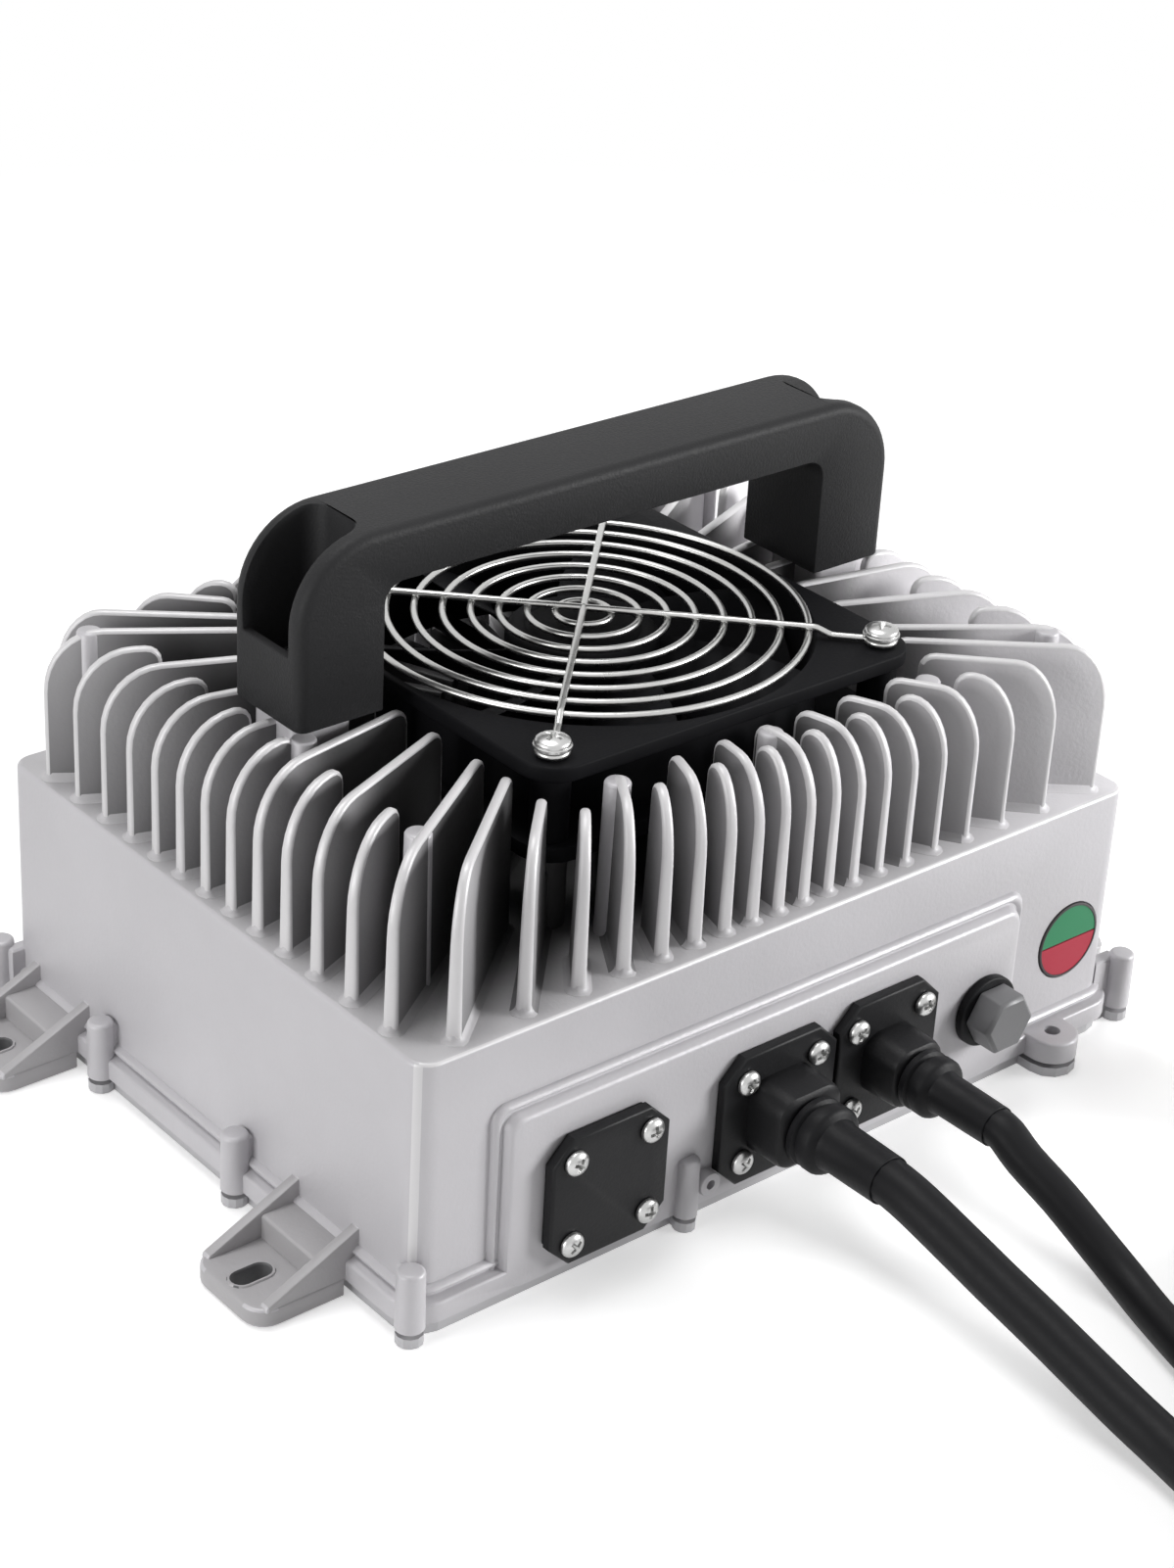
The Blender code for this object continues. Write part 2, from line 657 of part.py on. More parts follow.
def housing_columns():
    """Columns for the cover screws with a web to the wall, the eye beside one, and the round ear."""
    bm = bmesh.new()
    for x, y in COLUMN_SPOTS:
        radius = column_radius(x)
        profile = [
            (0, RIM_BOTTOM),
            (radius, RIM_BOTTOM),
            (radius, COLUMN_TOP - FLANGE_EDGE),
            (radius - FLANGE_EDGE, COLUMN_TOP),
            (0, COLUMN_TOP),
        ]
        turned(bm, profile, (x, y, 0), 12)
    ear_y = FACE_Y - EAR_OUT
    outline = arc(EAR_X, ear_y, EAR_RADIUS, -180, 0, 6) + [
        (EAR_X + EAR_RADIUS, FACE_Y + WALL / 2), (EAR_X - EAR_RADIUS, FACE_Y + WALL / 2)
    ]
    prism(bm, outline, RIM_BOTTOM, EAR_TOP)
    columns = place(bm, "column_tool", ALUMINIUM)
    bm = bmesh.new()
    front_cylinder(bm, LUG_X, LUG_Z, LUG_RADIUS, FACE_Y + WALL / 2, PANEL_Y - LUG_OUT, 12)
    eye = place(bm, "eye_tool", ALUMINIUM)
    return columns, eye, column_webs(RIM_BOTTOM + GAP, COLUMN_TOP - 2 * FLANGE_EDGE)


def housing_feet():
    """Base plates of the mounting feet, with the step that ties each one to the wall."""
    plates = bmesh.new()
    steps = bmesh.new()
    ribs = bmesh.new()
    for side, y in FOOT_SPOTS:
        inner = HALF_L + FLANGE_OUT + 2 * GAP
        outer = HALF_L + FOOT_REACH
        half = FOOT_WIDTH / 2
        outline = [(inner, y - half)]
        outline += arc(outer - FOOT_CORNER, y - half + FOOT_CORNER, FOOT_CORNER, -90, 0, 3)
        outline += arc(outer - FOOT_CORNER, y + half - FOOT_CORNER, FOOT_CORNER, 0, 90, 3)
        outline += [(inner, y + half)]
        prism(plates, [(side * px, py) for px, py in outline], 0, FOOT_THICKNESS)
        wall = HALF_L - WALL / 2
        step = HALF_L + FOOT_STEP_REACH
        block = [
            (side * wall, RIM_BOTTOM),
            (side * step, RIM_BOTTOM),
            (side * step, FOOT_STEP_TOP),
            (side * wall, FOOT_STEP_TOP),
        ]
        front_prism(steps, block, y - half + FOOT_RIB / 2, y + half - FOOT_RIB / 2)
        rib = [
            (side * wall, RIM_BOTTOM),
            (side * (outer - FOOT_CORNER / 2), RIM_BOTTOM),
            (side * (outer - FOOT_CORNER / 2), FOOT_THICKNESS + 0.0006),
            (side * HALF_L, FOOT_RIB_TOP),
            (side * wall, FOOT_RIB_TOP),
        ]
        for rib_y in (y - half + GAP, y + half - FOOT_RIB - GAP):
            front_prism(ribs, rib, rib_y, rib_y + FOOT_RIB)
    return place(plates, "foot_plate_tool", ALUMINIUM), place(steps, "foot_step_tool", ALUMINIUM), place(
        ribs, "foot_rib_tool", ALUMINIUM
    )


def housing_cavity():
    """The room inside, open towards the bottom cover."""
    bm = bmesh.new()
    prism(bm, body_outline(-WALL, 2), RIM_BOTTOM - 0.002, CAVITY_TOP)
    return place(bm, "cavity_tool", ALUMINIUM)


def plate_screw_spots(x, z):
    half = PLATE_PITCH / 2
    return [(x + sx * half, z + sz * half) for sz in (1, -1) for sx in (-1, 1)]


def housing_holes():
    """Foot slots, tapped holes, and the openings in the front wall."""
    bm = bmesh.new()
    for side, y in FOOT_SPOTS:
        x = side * (HALF_L + SLOT_OUT)
        run = SLOT_LENGTH / 2 - SLOT_WIDTH / 2
        outline = arc(x + run, y, SLOT_WIDTH / 2, -90, 90, 4) + arc(x - run, y, SLOT_WIDTH / 2, 90, 270, 4)
        prism(bm, outline, -0.002, FOOT_THICKNESS + 0.002)
    for x, y in COLUMN_SPOTS:
        cylinder(bm, x, y, COVER_SCREW_RADIUS + GAP, RIM_BOTTOM - 0.001, COVER_SCREW_LENGTH + 0.001, 6)
    cylinder(bm, EAR_X, FACE_Y - EAR_OUT, EAR_HOLE, RIM_BOTTOM - 0.002, EAR_TOP + 0.002, 10)
    front_cylinder(bm, LUG_X, LUG_Z, LUG_HOLE, PANEL_Y, PANEL_Y - LUG_OUT - 0.001, 10)
    for x, y in FAN_SPOTS:
        top = GUARD_LOOP_Z + GUARD_WIRE + GAP
        cylinder(bm, x, y, FAN_SCREW_RADIUS + GAP, top - FAN_SCREW_LENGTH - 0.001, FAN_BOTTOM + 0.001, 8)
    for side in (-1, 1):
        cylinder(
            bm,
            side * HANDLE_SCREW_X,
            HANDLE_Y,
            HANDLE_SCREW_RADIUS + GAP,
            POCKET_FLOOR - HANDLE_SCREW_LENGTH - 0.001,
            HANDLE_BOTTOM + 0.001,
            10,
        )
    inner_y = FACE_Y + 2 * WALL
    for x, z in ((BLANK_X, BLANK_Z), (OUTPUT_X, OUTPUT_Z), (INPUT_X, INPUT_Z)):
        for sx, sz in plate_screw_spots(x, z):
            front_cylinder(bm, sx, sz, PLATE_SCREW_RADIUS + GAP, inner_y, PANEL_Y - 0.001, 6)
        front_cylinder(bm, x, z, BLANK_OPENING, inner_y, PANEL_Y - 0.001, 14)
    front_cylinder(bm, VENT_X, VENT_Z, VENT_STEM + GAP, inner_y, PANEL_Y - 0.001, 12)
    front_cylinder(bm, LENS_X, LENS_Z, LENS_RADIUS + GAP, FACE_Y + LENS_RECESS, PANEL_Y - 0.001, 28)
    return place(bm, "hole_tool", ALUMINIUM)


def build_housing():
    bm = bmesh.new()
    top = BODY_TOP
    loft(
        bm,
        [
            upright(body_outline(WALL_DRAFT), RIM_BOTTOM),
            upright(body_outline(0), top - RIM_EDGE),
            upright(body_outline(-RIM_EDGE), top),
        ],
    )
    housing = place(bm, "housing", ALUMINIUM)
    combine(housing, housing_flange(), "UNION")
    combine(housing, housing_panel(), "UNION")
    for tool in housing_columns():
        combine(housing, tool, "UNION")
    for tool in housing_feet():
        combine(housing, tool, "UNION")
    combine(housing, fins(), "UNION")
    for tool in housing_posts():
        combine(housing, tool, "UNION")
    combine(housing, housing_cavity(), "DIFFERENCE")
    combine(housing, board_posts(), "UNION")
    combine(housing, housing_holes(), "DIFFERENCE")


def board_spots():
    half_x = BOARD_LENGTH / 2 - BOARD_CORNER_INSET
    half_y = BOARD_DEPTH / 2 - BOARD_CORNER_INSET
    return [(sx * half_x, sy * half_y) for sx in (-1, 1) for sy in (-1, 1)]


def board_posts():
    """Posts that hang from the top plate and stop just above the circuit board."""
    bm = bmesh.new()
    for x, y in board_spots():
        cylinder(
            bm, x, y, BOARD_POST_RADIUS, BOARD_BOTTOM + BOARD_THICKNESS + GAP, CAVITY_TOP + RIM_EDGE, 8
        )
    return place(bm, "board_post_tool", ALUMINIUM)


def build_cover():
    """Gasket and bottom cover, with a lug under each column."""
    bm = bmesh.new()
    low = COVER_THICKNESS + GAP
    prism(bm, body_outline(FLANGE_OUT - COVER_INSET - GASKET_THICKNESS), low, low + GASKET_THICKNESS)
    gasket = place(bm, "cover_gasket", RUBBER)
    bm = bmesh.new()
    prism(
        bm,
        body_outline(FLANGE_OUT - COVER_INSET - GASKET_THICKNESS - GASKET_WIDTH),
        low - 0.001,
        low + GASKET_THICKNESS + 0.001,
    )
    combine(gasket, place(bm, "gasket_tool", RUBBER), "DIFFERENCE")
    bm = bmesh.new()
    for x, y in COLUMN_SPOTS:
        cylinder(bm, x, y, COVER_SCREW_RADIUS + 2 * GAP, low - 0.001, low + GASKET_THICKNESS + 0.001, 6)
    combine(gasket, place(bm, "gasket_hole_tool", RUBBER), "DIFFERENCE")

    bm = bmesh.new()
    prism(bm, body_outline(FLANGE_OUT - COVER_INSET), 0, COVER_THICKNESS)
    cover = place(bm, "bottom_cover", SHEET)
    bm = bmesh.new()
    for x, y in COLUMN_SPOTS:
        cylinder(bm, x, y, column_radius(x), 0, COVER_THICKNESS, 12)
    ear_y = FACE_Y - EAR_OUT
    outline = arc(EAR_X, ear_y, EAR_RADIUS, -180, 0, 6) + [
        (EAR_X + EAR_RADIUS, FACE_Y), (EAR_X - EAR_RADIUS, FACE_Y)
    ]
    prism(bm, outline, 0, COVER_THICKNESS)
    for x, y in board_spots():
        cylinder(bm, x, y, BOARD_POST_RADIUS, COVER_THICKNESS / 2, BOARD_BOTTOM - GAP, 8)
    combine(cover, place(bm, "lug_tool", SHEET), "UNION")
    combine(cover, column_webs(0, COVER_THICKNESS), "UNION")
    bm = bmesh.new()
    for x, y in COLUMN_SPOTS:
        profile = [
            (0, -0.001),
            (COVER_SCREW_HEAD + GAP, -0.001),
            (COVER_SCREW_HEAD + GAP, 2 * GAP),
            (COVER_SCREW_RADIUS + GAP, COVER_THICKNESS - 2 * GAP),
            (COVER_SCREW_RADIUS + GAP, COVER_THICKNESS + 0.001),
            (0, COVER_THICKNESS + 0.001),
        ]
        turned(bm, profile, (x, y, 0), 6)
    cylinder(bm, EAR_X, ear_y, EAR_HOLE, -0.001, COVER_THICKNESS + 0.001, 10)
    combine(cover, place(bm, "countersink_tool", SHEET), "DIFFERENCE")

    for index, (x, y) in enumerate(COLUMN_SPOTS):
        bm = bmesh.new()
        profile = [
            (0, GAP),
            (COVER_SCREW_HEAD, GAP),
            (COVER_SCREW_HEAD, 2 * GAP),
            (COVER_SCREW_RADIUS, COVER_THICKNESS - 2 * GAP),
            (COVER_SCREW_RADIUS, COVER_SCREW_LENGTH),
            (0, COVER_SCREW_LENGTH),
        ]
        turned(bm, profile, (x, y, 0), 6)
        place(bm, f"cover_screw_{index + 1}", SCREW_STEEL, 40)


def build_fan():
    """Frame with a round duct, spokes and motor base, the rotor in it, and the wire guard on top."""
    low, high = FAN_BOTTOM, FAN_TOP
    half = FAN_SIZE / 2
    square = centred_rectangle(half, half, FAN_CORNER, 3)
    bm = bmesh.new()
    prism(bm, square, low, low + FAN_FLANGE)
    frame = place(bm, "fan_frame", FAN_PLASTIC, 40)
    bm = bmesh.new()
    prism(bm, square, high - FAN_FLANGE, high)
    combine(frame, place(bm, "fan_top_flange_tool", FAN_PLASTIC), "UNION")
    bm = bmesh.new()
    cylinder(bm, 0, 0, FAN_BORE + FAN_DUCT_WALL, low + FAN_FLANGE / 2, high - FAN_FLANGE / 2, 40)
    for x, y in FAN_SPOTS:
        cylinder(bm, x, y, FAN_POST_RADIUS, low + FAN_FLANGE / 2, high - FAN_FLANGE / 2, 10)
    combine(frame, place(bm, "fan_duct_tool", FAN_PLASTIC), "UNION")
    bm = bmesh.new()
    cylinder(bm, 0, 0, FAN_BORE, low - 0.001, high + 0.001, 40)
    for x, y in FAN_SPOTS:
        cylinder(bm, x, y, FAN_SCREW_RADIUS + GAP, low - 0.001, high + 0.001, 8)
    combine(frame, place(bm, "fan_bore_tool", FAN_PLASTIC), "DIFFERENCE")
    bm = bmesh.new()
    reach = FAN_BORE + FAN_DUCT_WALL / 2
    spoke = FAN_SPOKE_WIDTH / 2
    cross = [
        (reach, -spoke), (reach, spoke), (spoke, spoke), (spoke, reach), (-spoke, reach), (-spoke, spoke)
    ]
    cross += [
        (-reach, spoke),
        (-reach, -spoke),
        (-spoke, -spoke),
        (-spoke, -reach),
        (spoke, -reach),
        (spoke, -spoke),
    ]
    prism(bm, cross, low + GAP, low + FAN_SPOKE_HEIGHT)
    combine(frame, place(bm, "fan_spoke_tool", FAN_PLASTIC), "UNION")
    bm = bmesh.new()
    profile = [
        (0, low),
        (FAN_BASE_RADIUS, low),
        (FAN_BASE_RADIUS, low + FAN_SPOKE_HEIGHT + GAP),
        (FAN_MOTOR_RADIUS, low + FAN_SPOKE_HEIGHT + GAP),
        (FAN_MOTOR_RADIUS, low + FAN_MOTOR_HEIGHT),
        (0, low + FAN_MOTOR_HEIGHT),
    ]
    turned(bm, profile, (0, 0, 0), 20)
    combine(frame, place(bm, "fan_motor_tool", FAN_PLASTIC), "UNION")
    bm = bmesh.new()
    cylinder(bm, 0, 0, ROTOR_SHAFT + GAP, low + FAN_SPOKE_HEIGHT, low + FAN_MOTOR_HEIGHT + 0.001, 8)
    combine(frame, place(bm, "fan_bearing_tool", FAN_PLASTIC), "DIFFERENCE")
    build_rotor()
    build_guard()
    for index, (x, y) in enumerate(FAN_SPOTS):
        bm = bmesh.new()
        seat = GUARD_LOOP_Z + GUARD_WIRE + GAP
        profile = [
            (0, seat - FAN_SCREW_LENGTH),
            (FAN_SCREW_RADIUS, seat - FAN_SCREW_LENGTH),
            (FAN_SCREW_RADIUS, seat),
            (FAN_SCREW_HEAD, seat),
            (FAN_SCREW_HEAD, seat + 0.0008),
            (FAN_SCREW_HEAD - 0.0012, seat + 0.0022),
            (0, seat + 0.0028),
        ]
        turned(bm, profile, (x, y, 0), 10)
        place(bm, f"fan_screw_{index + 1}", SCREW_STEEL, 40)


def build_rotor():
    low = FAN_BOTTOM + FAN_SPOKE_HEIGHT + ROTOR_CLEARANCE
    high = FAN_TOP - ROTOR_TOP_DROP
    inner = ROTOR_HUB_RADIUS - ROTOR_HUB_WALL
    profile = [
        (0, FAN_BOTTOM + FAN_SPOKE_HEIGHT + GAP),
        (ROTOR_SHAFT, FAN_BOTTOM + FAN_SPOKE_HEIGHT + GAP),
        (ROTOR_SHAFT, high - ROTOR_HUB_WALL),
        (inner, high - ROTOR_HUB_WALL),
        (inner, low),
        (ROTOR_HUB_RADIUS, low),
        (ROTOR_HUB_RADIUS, high - 0.0012),
        (ROTOR_HUB_RADIUS - 0.0012, high),
        (0, high),
    ]
    bm = bmesh.new()
    turned(bm, profile, (0, 0, 0), 20)
    rotor = place(bm, "fan_rotor", FAN_PLASTIC, 40)
    bm = bmesh.new()
    sections = 4
    first = ROTOR_HUB_RADIUS - ROTOR_HUB_WALL / 2
    last = FAN_BORE - ROTOR_CLEARANCE
    middle = (low + high) / 2
    for blade in range(BLADES):
        turn = Matrix.Rotation(2 * math.pi * blade / BLADES, 3, "Z")
        rings = []
        for i in range(sections):
            share = i / (sections - 1)
            radius = first + (last - first) * share
            tilt = math.radians(BLADE_ROOT_ANGLE + (BLADE_TIP_ANGLE - BLADE_ROOT_ANGLE) * share)
            chord = BLADE_CHORD_ROOT + (BLADE_CHORD_TIP - BLADE_CHORD_ROOT) * share
            sweep = math.radians(-14 * share)
            ring = []
            for along, through in ((-0.5, -0.5), (0, -0.5), (0.5, -0.5), (0.5, 0.5), (0, 0.5), (-0.5, 0.5)):
                camber = 0.0014 * (1 - abs(along) * 2)
                run = along * chord
                rise = through * BLADE_THICKNESS + camber
                arc_run = run * math.cos(tilt) - rise * math.sin(tilt)
                height = run * math.sin(tilt) + rise * math.cos(tilt)
                angle = arc_run / radius + sweep
                ring.append(
                    turn @ Vector((radius * math.cos(angle), radius * math.sin(angle), middle + height))
                )
            rings.append(ring)
        loft(bm, rings)
    combine(rotor, place(bm, "blade_tool", FAN_PLASTIC), "UNION")


def build_guard():
    """Eight welded rings under two crossing arms, which bend down to loops at the screws."""
    reach = FAN_PITCH / math.sqrt(2) - GUARD_LOOP
    last_ring = GUARD_RINGS * GUARD_RING_PITCH
    half = [
        (0.0, GUARD_ARM_Z),
        (last_ring + 0.002, GUARD_ARM_Z),
        (last_ring + 0.007, GUARD_LOOP_Z),
        (reach, GUARD_LOOP_Z),
    ]
    arms = []
    for turn in (45, 135):
        way = Vector((math.cos(math.radians(turn)), math.sin(math.radians(turn)), 0))
        path = [way * -s + Vector((0, 0, z)) for s, z in reversed(half[1:])]
        path += [way * s + Vector((0, 0, z)) for s, z in half[1:]]
        bm = bmesh.new()
        swept_wire(bm, path, GUARD_WIRE)
        arms.append(bm)
    guard = place(arms[0], "fan_guard", PLATED, 50)
    combine(guard, place(arms[1], "guard_arm_tool", PLATED), "UNION")
    bm = bmesh.new()
    for ring in range(1, GUARD_RINGS + 1):
        radius = ring * GUARD_RING_PITCH
        steps = 10 + 2 * ring
        circle = [(x, y, GUARD_RING_Z) for x, y in arc(0, 0, radius, 0, 360, steps)[:-1]]
        swept_wire(bm, circle, GUARD_WIRE, 4, True)
    for x, y in FAN_SPOTS:
        circle = [(px, py, GUARD_LOOP_Z) for px, py in arc(x, y, GUARD_LOOP, 0, 360, 10)[:-1]]
        swept_wire(bm, circle, GUARD_WIRE, 4, True)
    combine(guard, place(bm, "guard_ring_tool", PLATED), "UNION")


def build_handle():
    """Arched handle with a screw pocket open at each end."""
    inner_top = HANDLE_TOP - HANDLE_BAR
    outline = [(HANDLE_OPEN_HALF, HANDLE_BOTTOM), (HANDLE_HALF, HANDLE_BOTTOM)]
    outline += arc(HANDLE_HALF - HANDLE_CORNER, HANDLE_TOP - HANDLE_CORNER, HANDLE_CORNER, 0, 90, 7)
    outline += arc(-HANDLE_HALF + HANDLE_CORNER, HANDLE_TOP - HANDLE_CORNER, HANDLE_CORNER, 90, 180, 7)
    outline += [(-HANDLE_HALF, HANDLE_BOTTOM), (-HANDLE_OPEN_HALF, HANDLE_BOTTOM)]
    outline += arc(
        -HANDLE_OPEN_HALF + HANDLE_OPEN_CORNER,
        inner_top - HANDLE_OPEN_CORNER,
        HANDLE_OPEN_CORNER,
        180,
        90,
        3,
    )
    outline += arc(
        HANDLE_OPEN_HALF - HANDLE_OPEN_CORNER, inner_top - HANDLE_OPEN_CORNER, HANDLE_OPEN_CORNER, 90, 0, 3
    )
    rear = HANDLE_FRONT_Y + HANDLE_WIDTH
    bm = bmesh.new()
    front_prism(bm, outline, HANDLE_FRONT_Y, rear)
    rim = []
    for edge in bm.edges:
        one, two = (end.co for end in edge.verts)
        if abs(one.y - two.y) < 1e-6 and one.z + two.z > 2 * HANDLE_BOTTOM + 1e-6:
            rim.append(edge)
    bmesh.ops.bevel(bm, geom=rim, offset=HANDLE_EDGE, segments=2, profile=0.5, affect="EDGES")
    handle = place(bm, "handle", BLACK_PLASTIC, 40)
    bm = bmesh.new()
    for side in (-1, 1):
        near = HANDLE_OPEN_HALF + POCKET_WALL
        lip = HANDLE_HALF - POCKET_LIP_WALL
        far = HANDLE_HALF + 0.01
        y0 = HANDLE_FRONT_Y + POCKET_FRONT_WALL
        y1 = rear - POCKET_REAR_WALL
        step = [
            (side * near, POCKET_FLOOR),
            (side * lip, POCKET_FLOOR),
            (side * lip, POCKET_LIP),
            (side * far, POCKET_LIP),
            (side * far, HANDLE_TOP + 0.01),
            (side * near, HANDLE_TOP + 0.01),
        ]
        front_prism(bm, step, y1, y0)
    combine(handle, place(bm, "pocket_tool", BLACK_PLASTIC), "DIFFERENCE")
    bm = bmesh.new()
    for side in (-1, 1):
        cylinder(
            bm,
            side * HANDLE_SCREW_X,
            HANDLE_Y,
            HANDLE_SCREW_RADIUS + GAP,
            HANDLE_BOTTOM - 0.001,
            POCKET_FLOOR + 0.001,
            10,
        )
    combine(handle, place(bm, "handle_hole_tool", BLACK_PLASTIC), "DIFFERENCE")
    for side, name in ((-1, "left"), (1, "right")):
        bm = bmesh.new()
        seat = POCKET_FLOOR + GAP
        profile = [
            (0, seat - HANDLE_SCREW_LENGTH),
            (HANDLE_SCREW_RADIUS, seat - HANDLE_SCREW_LENGTH),
            (HANDLE_SCREW_RADIUS, seat),
            (HANDLE_SCREW_HEAD, seat),
            (HANDLE_SCREW_HEAD, seat + 0.002),
            (HANDLE_SCREW_HEAD - 0.0015, seat + 0.0036),
            (0, seat + 0.0042),
        ]
        turned(bm, profile, (side * HANDLE_SCREW_X, HANDLE_Y, 0), 10)
        place(bm, f"handle_screw_{name}", SCREW_STEEL, 40)


def plate_outline(x, z, size_x, size_z, shrink=0.0):
    half_x, half_z = size_x / 2 - shrink, size_z / 2 - shrink
    return rounded_rectangle(x - half_x, z - half_z, x + half_x, z + half_z, PLATE_CORNER, 1)


def plate_holes(x, z, y_back, y_front, name, extra=None):
    bm = bmesh.new()
    for sx, sz in plate_screw_spots(x, z):
        front_cylinder(bm, sx, sz, PLATE_SCREW_RADIUS + GAP, y_back + 0.001, y_front - 0.001, 6)
    if extra:
        front_cylinder(bm, x, z, extra, y_back + 0.001, y_front - 0.001, 14)
    return place(bm, name, BLACK_PLASTIC)


def plate_screws(x, z, seat_y, prefix):
    """Four pan-head screws whose heads sit on the plate."""
    for index, (sx, sz) in enumerate(plate_screw_spots(x, z)):
        bm = bmesh.new()
        profile = [
            (0, -PLATE_SCREW_LENGTH),
            (PLATE_SCREW_RADIUS, -PLATE_SCREW_LENGTH),
            (PLATE_SCREW_RADIUS, 0),
            (PLATE_SCREW_HEAD, 0),
            (PLATE_SCREW_HEAD - 0.0003, 0.0012),
            (0, 0.0022),
        ]
        turned(bm, profile, (sx, seat_y - GAP, sz), 8, "-Y")
        place(bm, f"{prefix}_screw_{index + 1}", SCREW_STEEL, 40)


def build_blank():
    """Blanking plate over the unused opening, on a thin gasket."""
    seat = PANEL_Y - GAP
    bm = bmesh.new()
    front_prism(
        bm, plate_outline(BLANK_X, BLANK_Z, BLANK_SIZE, BLANK_SIZE, 0.0004), seat, seat - BLANK_GASKET
    )
    gasket = place(bm, "blank_gasket", RUBBER)
    combine(
        gasket,
        plate_holes(BLANK_X, BLANK_Z, seat, seat - BLANK_GASKET, "blank_gasket_tool", BLANK_OPENING),
        "DIFFERENCE",
    )
    back = seat - BLANK_GASKET - GAP
    front = back - PLATE_THICKNESS
    bm = bmesh.new()
    outline = plate_outline(BLANK_X, BLANK_Z, BLANK_SIZE, BLANK_SIZE)
    small = plate_outline(BLANK_X, BLANK_Z, BLANK_SIZE, BLANK_SIZE, 0.0005)
    loft(
        bm, [facing_front(outline, back), facing_front(outline, front + 0.0005), facing_front(small, front)]
    )
    plate = place(bm, "blank_plate", BLACK_PLASTIC)
    combine(plate, plate_holes(BLANK_X, BLANK_Z, back, front, "blank_plate_tool"), "DIFFERENCE")
    plate_screws(BLANK_X, BLANK_Z, front, "blank")


def boot_end_y():
    return PANEL_Y - GAP - PLATE_THICKNESS - ENTRY_BODY_OUT - BOOT_LENGTH


def build_entry(prefix, x, z, size_x, cable):
    """A cable entry: plate with a square body, then a tapered strain relief that the cable leaves."""
    back = PANEL_Y - GAP
    front = back - PLATE_THICKNESS
    body_front = front - ENTRY_BODY_OUT
    bm = bmesh.new()
    outline = plate_outline(x, z, size_x, OUTPUT_SIZE)
    small = plate_outline(x, z, size_x, OUTPUT_SIZE, 0.0005)
    loft(
        bm, [facing_front(outline, back), facing_front(outline, front + 0.0005), facing_front(small, front)]
    )
    flange = place(bm, f"{prefix}_flange", BLACK_PLASTIC)
    half = ENTRY_BODY_HALF * cable / OUTPUT_CABLE
    bm = bmesh.new()
    wide = rounded_rectangle(x - half, z - half, x + half, z + half, ENTRY_BODY_CORNER, 3)
    top = half - 0.0012
    narrow = rounded_rectangle(x - top, z - top, x + top, z + top, ENTRY_BODY_CORNER, 3)
    loft(
        bm,
        [
            facing_front(wide, back - 0.001),
            facing_front(wide, body_front + 0.0012),
            facing_front(narrow, body_front),
        ],
    )
    combine(flange, place(bm, f"{prefix}_body_tool", BLACK_PLASTIC), "UNION")
    combine(
        flange, plate_holes(x, z, back, body_front, f"{prefix}_hole_tool", cable + CABLE_FIT), "DIFFERENCE"
    )
    plate_screws(x, z, front, prefix)
    collar = cable + BOOT_EXTRA
    bore = cable + CABLE_FIT
    start = GAP
    profile = [
        (bore, start),
        (collar, start),
        (collar, BOOT_COLLAR),
        (collar - 0.0008, BOOT_COLLAR + 0.0008),
        (bore + BOOT_TAPER, BOOT_COLLAR + 0.0008),
        (bore + BOOT_TIP, BOOT_LENGTH),
        (bore, BOOT_LENGTH),
    ]
    bm = bmesh.new()
    turned(bm, profile, (x, body_front, z), 16, "-Y")
    place(bm, f"{prefix}_boot", RUBBER, 40)


def smooth_route(route, spacing):
    """Catmull-Rom curve through the route's points, read at even steps."""
    points = [Vector(p) for p in route]
    points = [points[0] * 2 - points[1]] + points + [points[-1] * 2 - points[-2]]
    dense = []
    for i in range(1, len(points) - 2):
        a, b, c, d = points[i - 1 : i + 3]
        for k in range(12):
            t = k / 12
            bend = (2 * a - 5 * b + 4 * c - d) * t**2 + (3 * b - a - 3 * c + d) * t**3
            dense.append(0.5 * (2 * b + (c - a) * t + bend))
    dense.append(points[-2])
    found = [dense[0]]
    since = 0.0
    for before, after in zip(dense, dense[1:]):
        since += (after - before).length
        if since >= spacing:
            found.append(after)
            since = 0.0
    if (found[-1] - dense[-1]).length < spacing / 2:
        found.pop()
    found.append(dense[-1])
    return found


def cord_tail(name, start, way, run, drop, radius):
    """The short stretch from a coil's top layer down to the connector's height."""
    points = []
    for i in range(13):
        share = i / 12
        fall = Vector((0, 0, -drop * share * share * (3 - 2 * share)))
        points.append(Vector(start) + Vector(way) * run * share + fall)
    round_curve(name, points, radius)


def cord_tube(name, route, radius):
    """A lead's free stretch along its route."""
    round_curve(name, smooth_route(route, radius * 5), radius)


def round_curve(name, points, radius):
    """A round bevelled curve with closed ends."""
    curve = bpy.data.curves.new(name, "CURVE")
    curve.dimensions = "3D"
    curve.bevel_depth = radius
    curve.bevel_resolution = 2
    curve.render_resolution_u = 0
    curve.use_fill_caps = True
    spline = curve.splines.new("POLY")
    spline.points.add(len(points) - 1)
    for spot, point in zip(spline.points, points):
        spot.co = (*point, 1.0)
    curve.materials.append(RUBBER)
    made = bpy.data.objects.new(name, curve)
    bpy.context.scene.collection.objects.link(made)


def coil_ring(name, x, y, mid, radius):
    """The room that a round coil takes: two turns wide and two high."""
    wide = 2 * radius
    soft = radius * 0.6
    profile = [
        (mid - wide, LIFT + soft),
        (mid - wide + soft, LIFT),
        (mid + wide - soft, LIFT),
        (mid + wide, LIFT + soft),
    ]
    top = LIFT + 2 * wide
    profile += [
        (mid + wide, top - soft),
        (mid + wide - soft, top),
        (mid - wide + soft, top),
        (mid - wide, top - soft),
    ]
    bm = bmesh.new()
    turned(bm, profile, (x, y, 0), 28)
    place(bm, name, RUBBER, 40)


